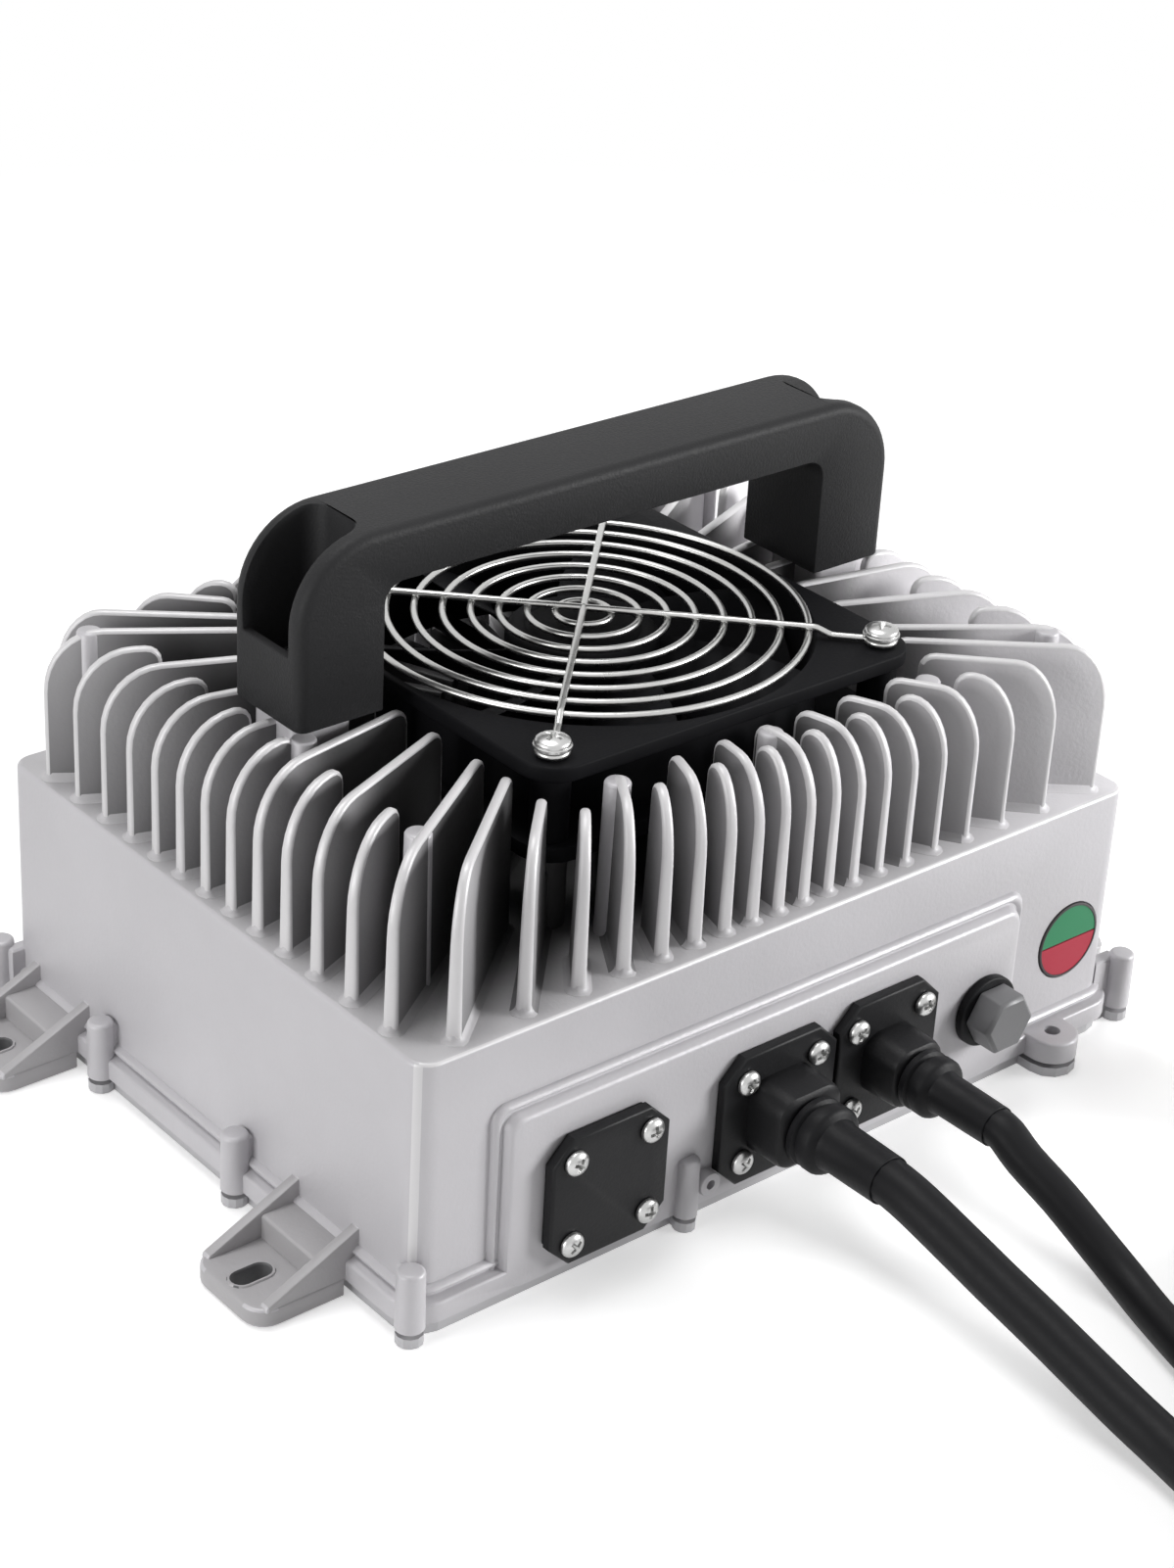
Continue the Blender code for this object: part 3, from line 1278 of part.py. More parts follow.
def meeting_run(mid, radius):
    """How far before the tangent point a lead first meets its coil."""
    outer = mid + 2 * radius + GAP
    return math.sqrt(outer**2 - mid**2)


# Hand-chosen points of each lead, from its strain relief to its coil
OUTPUT_ROUTE = [
    (OUTPUT_X, -0.142, 0.0246),
    (-0.0100, -0.155, 0.0212),
    (-0.0097, -0.168, 0.0178),
    (-0.0097, -0.182, 0.0148),
    (-0.0098, -0.196, 0.0116),
    (-0.0100, -0.210, 0.0086),
    (-0.0107, -0.224, 0.0067),
    (-0.0150, -0.248, 0.0062),
    (-0.0220, -0.275, 0.0062),
    (-0.0280, -0.302, 0.0062),
]
INPUT_ROUTE = [
    (INPUT_X, -0.142, 0.0222),
    (0.0268, -0.153, 0.0176),
    (0.0278, -0.164, 0.0116),
    (0.0276, -0.175, 0.0070),
    (0.0250, -0.186, 0.0053),
]


def build_leads():
    """Both leads: the free stretch, the coil, and the connector at the far end."""
    start = boot_end_y() - GAP
    run = meeting_run(OUTPUT_COIL_MID, OUTPUT_CABLE)
    entry_x = OUTPUT_COIL_X - OUTPUT_COIL_MID - OUTPUT_CABLE
    first = [(OUTPUT_X, start, OUTPUT_Z)]
    last = [(entry_x, OUTPUT_COIL_Y + run, OUTPUT_CABLE + LIFT)]
    cord_tube("output_cable", first + OUTPUT_ROUTE + last, OUTPUT_CABLE)
    coil_ring("output_coil", OUTPUT_COIL_X, OUTPUT_COIL_Y, OUTPUT_COIL_MID, OUTPUT_CABLE)
    tail_y = OUTPUT_COIL_Y - OUTPUT_COIL_MID - OUTPUT_CABLE
    tail_x = OUTPUT_COIL_X + run
    top = 3 * OUTPUT_CABLE + LIFT
    cord_tail(
        "output_tail", (tail_x, tail_y, top), (1, 0, 0), OUTPUT_TAIL - GAP, top - OUTPUT_REST, OUTPUT_CABLE
    )
    build_output_connector(tail_x + OUTPUT_TAIL, tail_y, OUTPUT_REST)

    run = meeting_run(INPUT_COIL_MID, INPUT_CABLE)
    entry_x = INPUT_COIL_X - INPUT_COIL_MID - INPUT_CABLE
    first = [(INPUT_X, start, INPUT_Z)]
    last = [(entry_x, INPUT_COIL_Y + run, INPUT_CABLE + LIFT)]
    cord_tube("input_cable", first + INPUT_ROUTE + last, INPUT_CABLE)
    coil_ring("input_coil", INPUT_COIL_X, INPUT_COIL_Y, INPUT_COIL_MID, INPUT_CABLE)
    tail_x = INPUT_COIL_X + INPUT_COIL_MID + INPUT_CABLE
    tail_y = INPUT_COIL_Y + run
    top = 3 * INPUT_CABLE + LIFT
    cord_tail(
        "input_tail", (tail_x, tail_y, top), (0, 1, 0), INPUT_TAIL - GAP, top - INPUT_REST, INPUT_CABLE
    )
    build_input_plug(tail_x, tail_y + INPUT_TAIL, INPUT_REST)


def build_output_connector(x, y, z):
    """Round two-pin battery connector on the output lead, lying along +X."""
    bm = bmesh.new()
    profile = [
        (0, 0),
        (0.0075, 0),
        (0.0095, 0.008),
        (0.0125, 0.010),
        (0.0135, 0.012),
        (0.0135, 0.030),
        (0.0115, 0.031),
        (0.0115, 0.034),
        (0.009, 0.034),
        (0.009, 0.031),
        (0, 0.031),
    ]
    turned(bm, profile, (x, y, z), 16, "+X")
    place(bm, "output_connector", BLACK_PLASTIC, 40)


def build_input_plug(x, y, z):
    """Moulded mains plug on the input lead, lying along +Y."""
    bm = bmesh.new()
    rings = []
    for along, half_x, half_z in (
        (0, 0.0065, 0.0065),
        (0.010, 0.008, 0.0075),
        (0.016, 0.014, 0.0105),
        (0.036, 0.0155, 0.0118),
        (0.038, 0.0148, 0.0112),
    ):
        outline = rounded_rectangle(x - half_x, z - half_z, x + half_x, z + half_z, 0.005, 2)
        rings.append([(px, y + along, pz) for px, pz in outline])
    loft(bm, rings)
    plug = place(bm, "input_plug", BLACK_PLASTIC, 40)
    bm = bmesh.new()
    for side in (-1, 1):
        blade = rounded_rectangle(
            x + side * 0.0064 - 0.0008, z - 0.0032, x + side * 0.0064 + 0.0008, z + 0.0032, 0.0004, 1
        )
        front_prism(bm, blade, y + 0.036, y + 0.055)
    front_cylinder(bm, x, z + 0.0065, 0.0024, y + 0.057, y + 0.036, 8)
    combine(plug, place(bm, "pin_tool", SCREW_STEEL), "UNION")


def build_front_details():
    """Vent plug on its seal, and the round two-colour status lens."""
    seat = PANEL_Y - GAP
    bm = bmesh.new()
    seal = [
        (VENT_STEM + GAP, 0),
        (VENT_SEAL_RADIUS, 0),
        (VENT_SEAL_RADIUS, VENT_SEAL - 0.0004),
        (VENT_SEAL_RADIUS - 0.0004, VENT_SEAL),
        (VENT_STEM + GAP, VENT_SEAL),
    ]
    turned(bm, seal, (VENT_X, seat, VENT_Z), 20, "-Y")
    place(bm, "vent_seal", RUBBER, 40)
    head = seat - VENT_SEAL - GAP
    bm = bmesh.new()
    hexagon = arc(VENT_X, VENT_Z, VENT_HEX, 0, 360, 6)[:-1]
    inset = arc(VENT_X, VENT_Z, VENT_HEX - 0.0006, 0, 360, 6)[:-1]
    loft(
        bm,
        [
            facing_front(hexagon, head),
            facing_front(hexagon, head - VENT_HEAD + 0.0006),
            facing_front(inset, head - VENT_HEAD),
        ],
    )
    plug = place(bm, "vent_plug", GREY_PLASTIC, 40)
    bm = bmesh.new()
    front_cylinder(bm, VENT_X, VENT_Z, VENT_STEM, FACE_Y + WALL + 0.002, head - 0.001, 12)
    combine(plug, place(bm, "vent_stem_tool", GREY_PLASTIC), "UNION")
    bm = bmesh.new()
    back = FACE_Y + LENS_RECESS - GAP
    depth = LENS_RECESS - GAP + LENS_PROUD
    lens = [
        (0, 0),
        (LENS_RADIUS, 0),
        (LENS_RADIUS, depth - 0.0003),
        (LENS_RADIUS - 0.0006, depth),
        (0, depth + 0.0003),
    ]
    turned(bm, lens, (LENS_X, back, LENS_Z), 28, "-Y")
    place(bm, "status_lens", LENS, 30)


def box_on_board(name, mat, size, x, y, edge=0.001):
    """A component that stands on the board."""
    low = BOARD_BOTTOM + BOARD_THICKNESS + GAP
    bm = bmesh.new()
    outline = rounded_rectangle(x - size[0] / 2, y - size[1] / 2, x + size[0] / 2, y + size[1] / 2, edge, 1)
    prism(bm, outline, low, low + size[2])
    return place(bm, name, mat)


def build_inside():
    """Circuit board and the main power parts."""
    bm = bmesh.new()
    prism(
        bm,
        centred_rectangle(BOARD_LENGTH / 2, BOARD_DEPTH / 2, 0.002, 1),
        BOARD_BOTTOM,
        BOARD_BOTTOM + BOARD_THICKNESS,
    )
    place(bm, "main_board", BOARD_GREEN)
    box_on_board("transformer", FERRITE, TRANSFORMER_SIZE, -BOARD_LENGTH * 0.11, BOARD_DEPTH * 0.15)
    low = BOARD_BOTTOM + BOARD_THICKNESS + GAP
    bm = bmesh.new()
    profile = [
        (CHOKE_BORE, low),
        (CHOKE_RADIUS, low),
        (CHOKE_RADIUS, low + CHOKE_HEIGHT),
        (CHOKE_BORE, low + CHOKE_HEIGHT),
    ]
    turned(bm, profile, (BOARD_LENGTH * 0.24, BOARD_DEPTH * 0.22, 0), 16)
    place(bm, "pfc_choke", COPPER)
    for index, share in enumerate((0.16, 0.32)):
        bm = bmesh.new()
        x, y = BOARD_LENGTH * share, -BOARD_DEPTH * 0.22
        cylinder(bm, x, y, CAPACITOR_RADIUS, low, low + CAPACITOR_HEIGHT, 14)
        place(bm, f"bulk_capacitor_{index + 1}", CAN)
    box_on_board("relay", BLACK_PLASTIC, RELAY_SIZE, -BOARD_LENGTH * 0.29, -BOARD_DEPTH * 0.26)
    bm = bmesh.new()
    top = CAVITY_TOP - MODULE_BOND
    half_x, half_y = MODULE_SIZE[0] / 2, MODULE_SIZE[1] / 2
    prism(bm, rounded_rectangle(-half_x, -half_y, half_x, half_y, 0.001, 1), top - MODULE_SIZE[2], top)
    place(bm, "power_module", GREY_PLASTIC)


build_housing()
build_cover()
build_fan()
build_handle()
build_blank()
build_entry("output", OUTPUT_X, OUTPUT_Z, OUTPUT_SIZE, OUTPUT_CABLE)
build_entry("input", INPUT_X, INPUT_Z, INPUT_SIZE, INPUT_CABLE)
build_front_details()
build_inside()
build_leads()
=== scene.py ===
"""Looks of the finned battery charger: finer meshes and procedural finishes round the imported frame."""
from math import atan2, copysign, cos, hypot, pi, radians, sin, sqrt, tan

import bmesh
import bpy
from mathutils import Matrix, Vector


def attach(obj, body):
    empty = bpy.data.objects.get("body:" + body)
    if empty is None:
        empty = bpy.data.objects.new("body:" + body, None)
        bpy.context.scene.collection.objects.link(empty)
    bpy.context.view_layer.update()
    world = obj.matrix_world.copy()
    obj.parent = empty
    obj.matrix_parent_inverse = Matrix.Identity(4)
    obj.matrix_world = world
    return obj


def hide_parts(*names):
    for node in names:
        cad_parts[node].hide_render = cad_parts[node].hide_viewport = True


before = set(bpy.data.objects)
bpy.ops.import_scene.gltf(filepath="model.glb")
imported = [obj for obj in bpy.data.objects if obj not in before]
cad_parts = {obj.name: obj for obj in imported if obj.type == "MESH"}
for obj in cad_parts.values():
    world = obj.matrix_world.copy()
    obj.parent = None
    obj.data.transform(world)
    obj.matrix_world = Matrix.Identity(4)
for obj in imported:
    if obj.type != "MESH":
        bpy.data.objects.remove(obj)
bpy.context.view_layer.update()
BODY = "charger"
ROTOR = "fan_rotor"

# The camera stands where the photograph was taken from
scene = bpy.context.scene
eye = bpy.data.objects.new("camera", bpy.data.cameras.new("camera"))
scene.collection.objects.link(eye)
eye.location = (-0.46865, -0.54133, 0.45450)
eye.rotation_euler = [radians(a) for a in (61.7663, -2.7749, -39.3977)]
eye.data.lens = 72.722
eye.data.sensor_width = 36.0
eye.data.shift_x = 0.0081
eye.data.shift_y = -0.0038
eye.data.clip_start = 0.02
eye.data.clip_end = 20.0
scene.camera = eye

# Sizes in metres, as in the frame
GAP = 0.0003
HALF_L = 0.1145
HALF_D = 0.087
BODY_TOP = 0.072
BODY_CORNER = 0.0055
RIM_BOTTOM = 0.004
FLANGE_OUT = 0.004
FACE_Y = -HALF_D
PANEL_Y = FACE_Y - 0.0042
COLUMN_TOP = 0.0200
EAR_X, EAR_Y = 0.0894, FACE_Y - 0.0064
EYE_X, EYE_Z = -0.03115, 0.0112
FIN_TOP = 0.113
FIN_AIM_Y = 0.003
FIN_ROOT = BODY_TOP - 0.001
FAN_TOP = 0.116
FAN_BOTTOM = 0.091
FAN_PITCH = 0.105
FAN_SPOTS = [(sx * FAN_PITCH / 2, sy * FAN_PITCH / 2) for sx in (-1, 1) for sy in (-1, 1)]
HUB_TOP = FAN_BOTTOM + 0.0033
GUARD_WIRE = 0.0009
RING_COUNT, RING_PITCH = 8, 0.00705
LOOP_RADIUS = 0.0034
HANDLE_Y = 0.00325
HANDLE_SCREW_X = 0.083
PLATE_THICKNESS = 0.0027
PLATE_HALF_PITCH = 0.0114
BLANK_GASKET = 0.0012
BLANK_X, BLANK_Z = -0.06425, 0.0252
OUTPUT_X, OUTPUT_Z = -0.0105, 0.0258
INPUT_X, INPUT_Z = 0.02575, 0.0266
VENT_X, VENT_Z = 0.06285, 0.0255
LENS_X, LENS_Z = 0.0982, 0.0316
OUTPUT_CABLE = 0.006
INPUT_CABLE = 0.005
LIFT = 0.0002
TINY = 1e-6


# Finishes


def feed(tree, target, inputs):
    """Give a node's inputs a link from a socket or else a constant."""
    for name, value in inputs.items():
        if isinstance(value, bpy.types.NodeSocket):
            tree.links.new(value, target.inputs[name])
        else:
            target.inputs[name].default_value = value


def add_node(tree, kind, inputs=(), **settings):
    made = tree.nodes.new("ShaderNode" + kind)
    for name, value in settings.items():
        setattr(made, name, value)
    feed(tree, made, dict(inputs))
    return made


def maths(tree, operation, *values, **settings):
    return add_node(tree, "Math", enumerate(values), operation=operation, **settings).outputs[0]


def new_material(name):
    made = bpy.data.materials.new(name)
    made.use_nodes = True
    return made, made.node_tree, made.node_tree.nodes["Principled BSDF"]


def finish(
    name, colour, metallic, roughness, grain, bump, depth, cloud, spread=0.08, coat=0.0, shine=0.5
):
    """A shader with grain, cloudy colour and uneven roughness, all from noise in object space."""
    made, tree, shader = new_material(name)
    spot = add_node(tree, "TexCoord").outputs["Object"]
    broad = add_node(tree, "TexNoise", {"Scale": 24.0, "Detail": 4.0, "Vector": spot}).outputs["Fac"]
    fine = add_node(tree, "TexNoise", {"Scale": grain, "Detail": 3.0, "Vector": spot}).outputs["Fac"]
    tint = add_node(tree, "ValToRGB", {"Fac": broad})
    low, high = tint.color_ramp.elements
    low.position, high.position = 0.3, 0.7
    low.color = (*[c * (1 - cloud) for c in colour], 1.0)
    high.color = (*[min(1.0, c * (1 + cloud * 0.5)) for c in colour], 1.0)
    limits = {"To Min": max(0.05, roughness - spread), "To Max": min(1.0, roughness + spread)}
    rough = add_node(tree, "MapRange", {"Value": fine, **limits})
    raised = add_node(tree, "Bump", {"Strength": bump, "Distance": depth, "Height": fine})
    feed(tree, shader, {
        "Base Color": (*colour, 1.0),
        "Metallic": metallic,
        "Roughness": roughness,
        "Coat Weight": coat,
        "Specular IOR Level": shine,
    })
    feed(tree, shader, {
        "Base Color": tint.outputs["Color"],
        "Roughness": rough.outputs["Result"],
        "Normal": raised.outputs["Normal"],
    })
    return made


def painted_shade_inside(made, rim, foot):
    """Painted shade: darkens a finish inwards from the rim and down to the foot of the fins, where shade
    falls between them; less at the right end, where a painted light makes the finish paler.
    """
    tree = made.node_tree
    shader = tree.nodes["Principled BSDF"]
    plain = shader.inputs["Base Color"].links[0].from_socket
    spot = add_node(tree, "TexCoord").outputs["Object"]
    x, y, z = add_node(tree, "SeparateXYZ", {0: spot}).outputs

    def ramp(value, low, high, at_low, at_high, kind="LINEAR"):
        limits = {"From Min": low, "From Max": high, "To Min": at_low, "To Max": at_high}
        node = add_node(tree, "MapRange", {"Value": value, **limits}, interpolation_type=kind)
        return node.outputs["Result"]

    past_end = maths(tree, "SUBTRACT", maths(tree, "ABSOLUTE", x), HALF_L)
    past_face = maths(tree, "SUBTRACT", maths(tree, "ABSOLUTE", y), HALF_D)
    lean = ramp(x, 0.02, HALF_L, 0.0, 0.026)
    depth = maths(tree, "ADD", maths(tree, "MAXIMUM", past_end, past_face), lean)
    inwards = ramp(depth, -0.030, -0.003, 0.12, rim, "SMOOTHSTEP")
    upwards = ramp(z, BODY_TOP, FIN_TOP, foot, 1.1)
    upwards = maths(tree, "ADD", upwards, ramp(x, 0.045, 0.095, 0.0, 0.5))
    # Painted light: the finish turns up to 1.45 times paler towards the right end.
    painted_light_right = ramp(x, 0.045, 0.1, 1.0, 1.45)
    level = maths(tree, "MULTIPLY", inwards, upwards, use_clamp=True)
    scale = maths(tree, "MULTIPLY", level, painted_light_right)
    shade = add_node(tree, "VectorMath", {0: plain, "Scale": scale}, operation="SCALE")
    feed(tree, shader, {"Base Color": shade.outputs[0]})
    return made


FIN_GREY = (0.56, 0.55, 0.565)
SOFT_BLACK, DEEP_BLACK, BLACK = (0.017, 0.017, 0.018), (0.008, 0.008, 0.009), (0.005, 0.005, 0.006)
CAST = finish("cast_aluminium", (0.553, 0.541, 0.562), 0.12, 0.44, 900, 0.25, 0.0003, 0.05)
# Fin rims and edge bands: a painted highlight, paler than the plain casting.
FIN_RIMS_PAINTED_HIGHLIGHT = finish("cast_fin_rims_painted_highlight", (0.69, 0.68, 0.69), 0.12, 0.42, 900, 0.2, 0.0003, 0.05)
# Feet: painted shade, the same casting made darker.
FOOT_PAINTED_SHADE = finish("cast_feet_painted_shade", (0.42, 0.41, 0.42), 0.1, 0.46, 900, 0.25, 0.0003, 0.06)
# Foot slots: painted shade, nearly black inside the recess.
SLOT_PAINTED_SHADE = finish("cast_slots_painted_shade", (0.13, 0.13, 0.135), 0.0, 0.5, 900, 0.25, 0.0003, 0.06, shine=0.3)
# Fin sides: painted shade, darker inwards from the rim and down to the foot of the fins.
FIN_SIDES_PAINTED_SHADE = finish("cast_fin_sides_painted_shade", FIN_GREY, 0.0, 0.5, 900, 0.25, 0.0003, 0.08, shine=0.3)
# Deck between the fins: painted shade, darker inwards from the rim.
DECK_PAINTED_SHADE = finish("cast_deck_painted_shade", FIN_GREY, 0.05, 0.46, 900, 0.25, 0.0003, 0.06, shine=0.4)
painted_shade_inside(FIN_SIDES_PAINTED_SHADE, 0.78, 0.5)
painted_shade_inside(DECK_PAINTED_SHADE, 1.0, 1.0)
SHEET = finish("sheet_metal", (0.50, 0.495, 0.51), 0.25, 0.42, 1200, 0.08, 0.0002, 0.04)
HANDLE_BLACK = finish("handle_plastic", SOFT_BLACK, 0.0, 0.55, 1500, 0.35, 0.0003, 0.15, shine=0.2)
PLATE_BLACK = finish("plate_plastic", DEEP_BLACK, 0.0, 0.46, 1300, 0.2, 0.0002, 0.15, shine=0.2)
FAN_BLACK = finish("fan_plastic", BLACK, 0.0, 0.6, 1300, 0.1, 0.0002, 0.1, shine=0.08)
WIRE = finish("plated_wire", (0.58, 0.58, 0.57), 1.0, 0.3, 500, 0.05, 0.0001, 0.08)
SCREW_STEEL = finish("screw_steel", (0.56, 0.56, 0.555), 1.0, 0.3, 1800, 0.1, 0.0001, 0.12)
RUBBER = finish("black_rubber", BLACK, 0.0, 0.5, 1100, 0.2, 0.0002, 0.2, shine=0.16)
CABLE_JACKET = finish("cable_jacket", BLACK, 0.0, 0.5, 700, 0.12, 0.0002, 0.2, shine=0.16)
GREY_GASKET = finish("grey_gasket", (0.74, 0.74, 0.74), 0.0, 0.6, 1100, 0.2, 0.0002, 0.1, shine=0.3)
VENT_GREY = finish("vent_plastic", (0.16, 0.16, 0.165), 0.1, 0.45, 1300, 0.15, 0.0002, 0.1)
GREEN = finish("lens_green", (0.030, 0.235, 0.105), 0.0, 0.45, 900, 0.08, 0.0001, 0.06, 0.05, 0.1, 0.2)
RED = finish("lens_red", (0.44, 0.028, 0.055), 0.0, 0.45, 900, 0.08, 0.0001, 0.06, 0.05, 0.1, 0.2)
LENS_EDGE = finish("lens_edge", (0.035, 0.030, 0.032), 0.0, 0.4, 900, 0.1, 0.0001, 0.1)
BOARD = finish("circuit_board", (0.03, 0.16, 0.07), 0.0, 0.4, 900, 0.1, 0.0001, 0.2)
COPPER = finish("copper_winding", (0.50, 0.22, 0.09), 0.8, 0.35, 600, 0.4, 0.0003, 0.2)
FERRITE = finish("ferrite", (0.07, 0.07, 0.08), 0.0, 0.7, 900, 0.3, 0.0002, 0.15)
CAN = finish("capacitor_can", (0.04, 0.05, 0.14), 0.0, 0.3, 900, 0.05, 0.0001, 0.1)
PIN_BRASS = finish("plug_pins", (0.72, 0.66, 0.50), 1.0, 0.25, 1500, 0.05, 0.0001, 0.08)

NODE_FINISH = {
    "housing": CAST,
    "bottom_cover": SHEET,
    "cover_gasket": GREY_GASKET,
    "blank_gasket": RUBBER,
    "main_board": BOARD,
    "transformer": FERRITE,
    "pfc_choke": COPPER,
    "bulk_capacitor_1": CAN,
    "bulk_capacitor_2": CAN,
    "power_module": VENT_GREY,
}
for node_name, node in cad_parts.items():
    node.data.materials.clear()
    node.data.materials.append(NODE_FINISH.get(node_name, PLATE_BLACK))


# Mesh helpers

UP = Matrix.Identity(3)
DOWN = Matrix.Rotation(pi, 3, "X")
FORWARD = Matrix.Rotation(pi / 2, 3, "X")
RIGHT = Matrix.Rotation(pi / 2, 3, "Y")


def linked(name, data):
    made = bpy.data.objects.new(name, data)
    scene.collection.objects.link(made)
    return made


def outwards(bm):
    bmesh.ops.recalc_face_normals(bm, faces=bm.faces)


def helper(bm, name="helper", *mats):
    """Close a bmesh into a bare object."""
    outwards(bm)
    mesh = bpy.data.meshes.new(name)
    bm.to_mesh(mesh)
    bm.free()
    for mat in mats:
        mesh.materials.append(mat)
    return linked(name, mesh)


def reopened(made):
    """The bmesh of a bare object, which is dropped."""
    bm = bmesh.new()
    bm.from_mesh(made.data)
    bpy.data.objects.remove(made, do_unlink=True)
    return bm


def soften(made, smooth_angle):
    made.data.shade_smooth()
    made.data.set_sharp_from_angle(angle=radians(smooth_angle))


def settle(made, slot, *nodes, body=BODY):
    """Let a piece ride on its body and hide the CAD nodes that it stands for; the slot is not used."""
    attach(made, body)
    if nodes:
        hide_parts(*nodes)
    return made


def place(bm, name, mats, smooth_angle, slot, *nodes, body=BODY):
    """Close a bmesh into a piece that rides on a body and stands for CAD nodes."""
    made = helper(bm, name, *mats)
    soften(made, smooth_angle)
    return settle(made, slot, *nodes, body=body)


def applied(made):
    """Put an object's modifiers into its mesh at once."""
    bpy.context.view_layer.update()
    shape = made.evaluated_get(bpy.context.evaluated_depsgraph_get())
    new, old = bpy.data.meshes.new_from_object(shape), made.data
    made.modifiers.clear()
    made.data = new
    bpy.data.meshes.remove(old)
    soften(made, 35)


def carve(target, tools, operation="DIFFERENCE"):
    """Apply Booleans to a mesh and drop the helper objects."""
    for tool in tools:
        step = target.modifiers.new("step", "BOOLEAN")
        step.operation = operation
        step.solver = "EXACT"
        step.object = tool
    applied(target)
    for tool in tools:
        bpy.data.objects.remove(tool, do_unlink=True)


def merge(into, extra):
    mesh = bpy.data.meshes.new("merge")
    outwards(extra)
    extra.to_mesh(mesh)
    extra.free()
    into.from_mesh(mesh)
    bpy.data.meshes.remove(mesh)


def bevel(bm, edges, offset, segments, **settings):
    bmesh.ops.bevel(bm, geom=edges, offset=offset, segments=segments, profile=0.5, affect="EDGES", **settings)


def arc(centre_x, centre_y, radius, start, end, steps, radius_y=None):
    radius_y = radius if radius_y is None else radius_y
    turns = [radians(start + (end - start) * i / steps) for i in range(steps + 1)]
    return [(centre_x + radius * cos(t), centre_y + radius_y * sin(t)) for t in turns]


def circle(x, y, radius, steps):
    return arc(x, y, radius, 0, 360, steps)[:-1]


def quarter(steps, first=0):
    """How far a round edge of radius 1 falls back and rises, step by step."""
    turns = [pi / 2 * i / steps for i in range(first, steps + 1)]
    return [(1 - cos(t), sin(t)) for t in turns]


def round_top(radius, high, edge, steps, first=0):
    """The round upper edge in the profile of a turned piece."""
    return [(radius - edge * back, high - edge + edge * rise) for back, rise in quarter(steps, first)]


def rounded_rectangle(x0, y0, x1, y1, radius, steps):
    return (
        arc(x1 - radius, y0 + radius, radius, -90, 0, steps)
        + arc(x1 - radius, y1 - radius, radius, 0, 90, steps)
        + arc(x0 + radius, y1 - radius, radius, 90, 180, steps)
        + arc(x0 + radius, y0 + radius, radius, 180, 270, steps)
    )


def centred(x, y, half_x, half_y, radius, steps):
    return rounded_rectangle(x - half_x, y - half_y, x + half_x, y + half_y, radius, steps)


def rectangle(x0, y0, x1, y1):
    return [(x0, y0), (x1, y0), (x1, y1), (x0, y1)]


def rod(radius, low, high):
    """The profile of a plain cylinder."""
    return [(0, low), (radius, low), (radius, high), (0, high)]


def upright(outline, height):
    return [(x, y, height) for x, y in outline]


def facing_front(outline, depth):
    return [(x, depth, z) for x, z in outline]


def rounded_stack(outline_at, low, high, edge, steps, both=True):
    """The rings of a block whose top edge, and maybe bottom edge, is round."""
    found = [(low + edge * (1 - rise), edge * back) for back, rise in quarter(steps)[::-1]]
    if not both:
        found = [(low, 0.0)]
    found += [(high - edge * (1 - rise), edge * back) for back, rise in quarter(steps)]
    return [outline_at(inset, height) for height, inset in found]


def bridge(bm, pairs, mat=0):
    """Faces between pairs of rings, where a ring may be one point on the axis."""
    for low, high in pairs:
        count = max(len(low), len(high))
        for i in range(count):
            j = (i + 1) % count
            if len(low) == 1:
                corners = (low[0], high[j], high[i])
            elif len(high) == 1:
                corners = (low[i], low[j], high[0])
            else:
                corners = (low[i], low[j], high[j], high[i])
            bm.faces.new(corners).material_index = mat


def cap(bm, rows, mat=0):
    bm.faces.new(rows[0][::-1]).material_index = mat
    bm.faces.new(rows[-1]).material_index = mat


def loft(bm, rings, mat=0, cap_mat=None):
    rows = [[bm.verts.new(point) for point in ring] for ring in rings]
    bridge(bm, zip(rows, rows[1:]), mat)
    cap(bm, rows, mat if cap_mat is None else cap_mat)
    return rows


def turned(bm, profile, centre, segments, turn=UP, mat=0):
    """Turn a profile of radii and heights, which is closed into a ring where it ends off the axis."""
    rows = []
    for radius, height in profile:
        count = segments if radius > 1e-9 else 1
        angles = [2 * pi * i / count for i in range(count)]
        points = [Vector((radius * cos(a), radius * sin(a), height)) for a in angles]
        rows.append([bm.verts.new(Vector(centre) + turn @ point) for point in points])
    pairs = list(zip(rows, rows[1:]))
    if len(rows[0]) > 1 and len(rows[-1]) > 1:
        pairs.append((rows[-1], rows[0]))
    bridge(bm, pairs, mat)


def solid(shape, *values):
    """A new bmesh with one shape in it."""
    bm = bmesh.new()
    shape(bm, *values)
    return bm


def swept(bm, path, radius, sides, closed=False):
    """A round wire along a path."""
    points = [Vector(p) for p in path]
    count = len(points)
    turns = [2 * pi * k / sides for k in range(sides)]
    rows, side = [], None
    for i, point in enumerate(points):
        if closed:
            ahead = points[(i + 1) % count] - points[i - 1]
        else:
            ahead = points[min(i + 1, count - 1)] - points[max(i - 1, 0)]
        ahead.normalize()
        if side is None:
            side = ahead.cross(Vector((0, 0, 1))).normalized()
        side = (side - ahead * side.dot(ahead)).normalized()
        up = ahead.cross(side)
        rows.append([bm.verts.new(point + radius * (cos(a) * side + sin(a) * up)) for a in turns])
    bridge(bm, zip(rows, rows[1:]))
    if closed:
        bridge(bm, [(rows[-1], rows[0])])
    else:
        cap(bm, rows)


def smooth_curve(points, steps):
    """A soft curve through points."""
    points = [Vector(p) for p in points]
    padded = [points[0] * 2 - points[1]] + points + [points[-1] * 2 - points[-2]]
    found = []
    for i in range(1, len(padded) - 2):
        a, b, c, d = padded[i - 1 : i + 3]
        for k in range(steps):
            t = k / steps
            bend = (2 * a - 5 * b + 4 * c - d) * t**2 + (3 * b - a - 3 * c + d) * t**3
            found.append(0.5 * (2 * b + (c - a) * t + bend))
    found.append(padded[-2])
    return found


# Leads: the free stretch follows the frame's route, then the unseen length lies in a coil

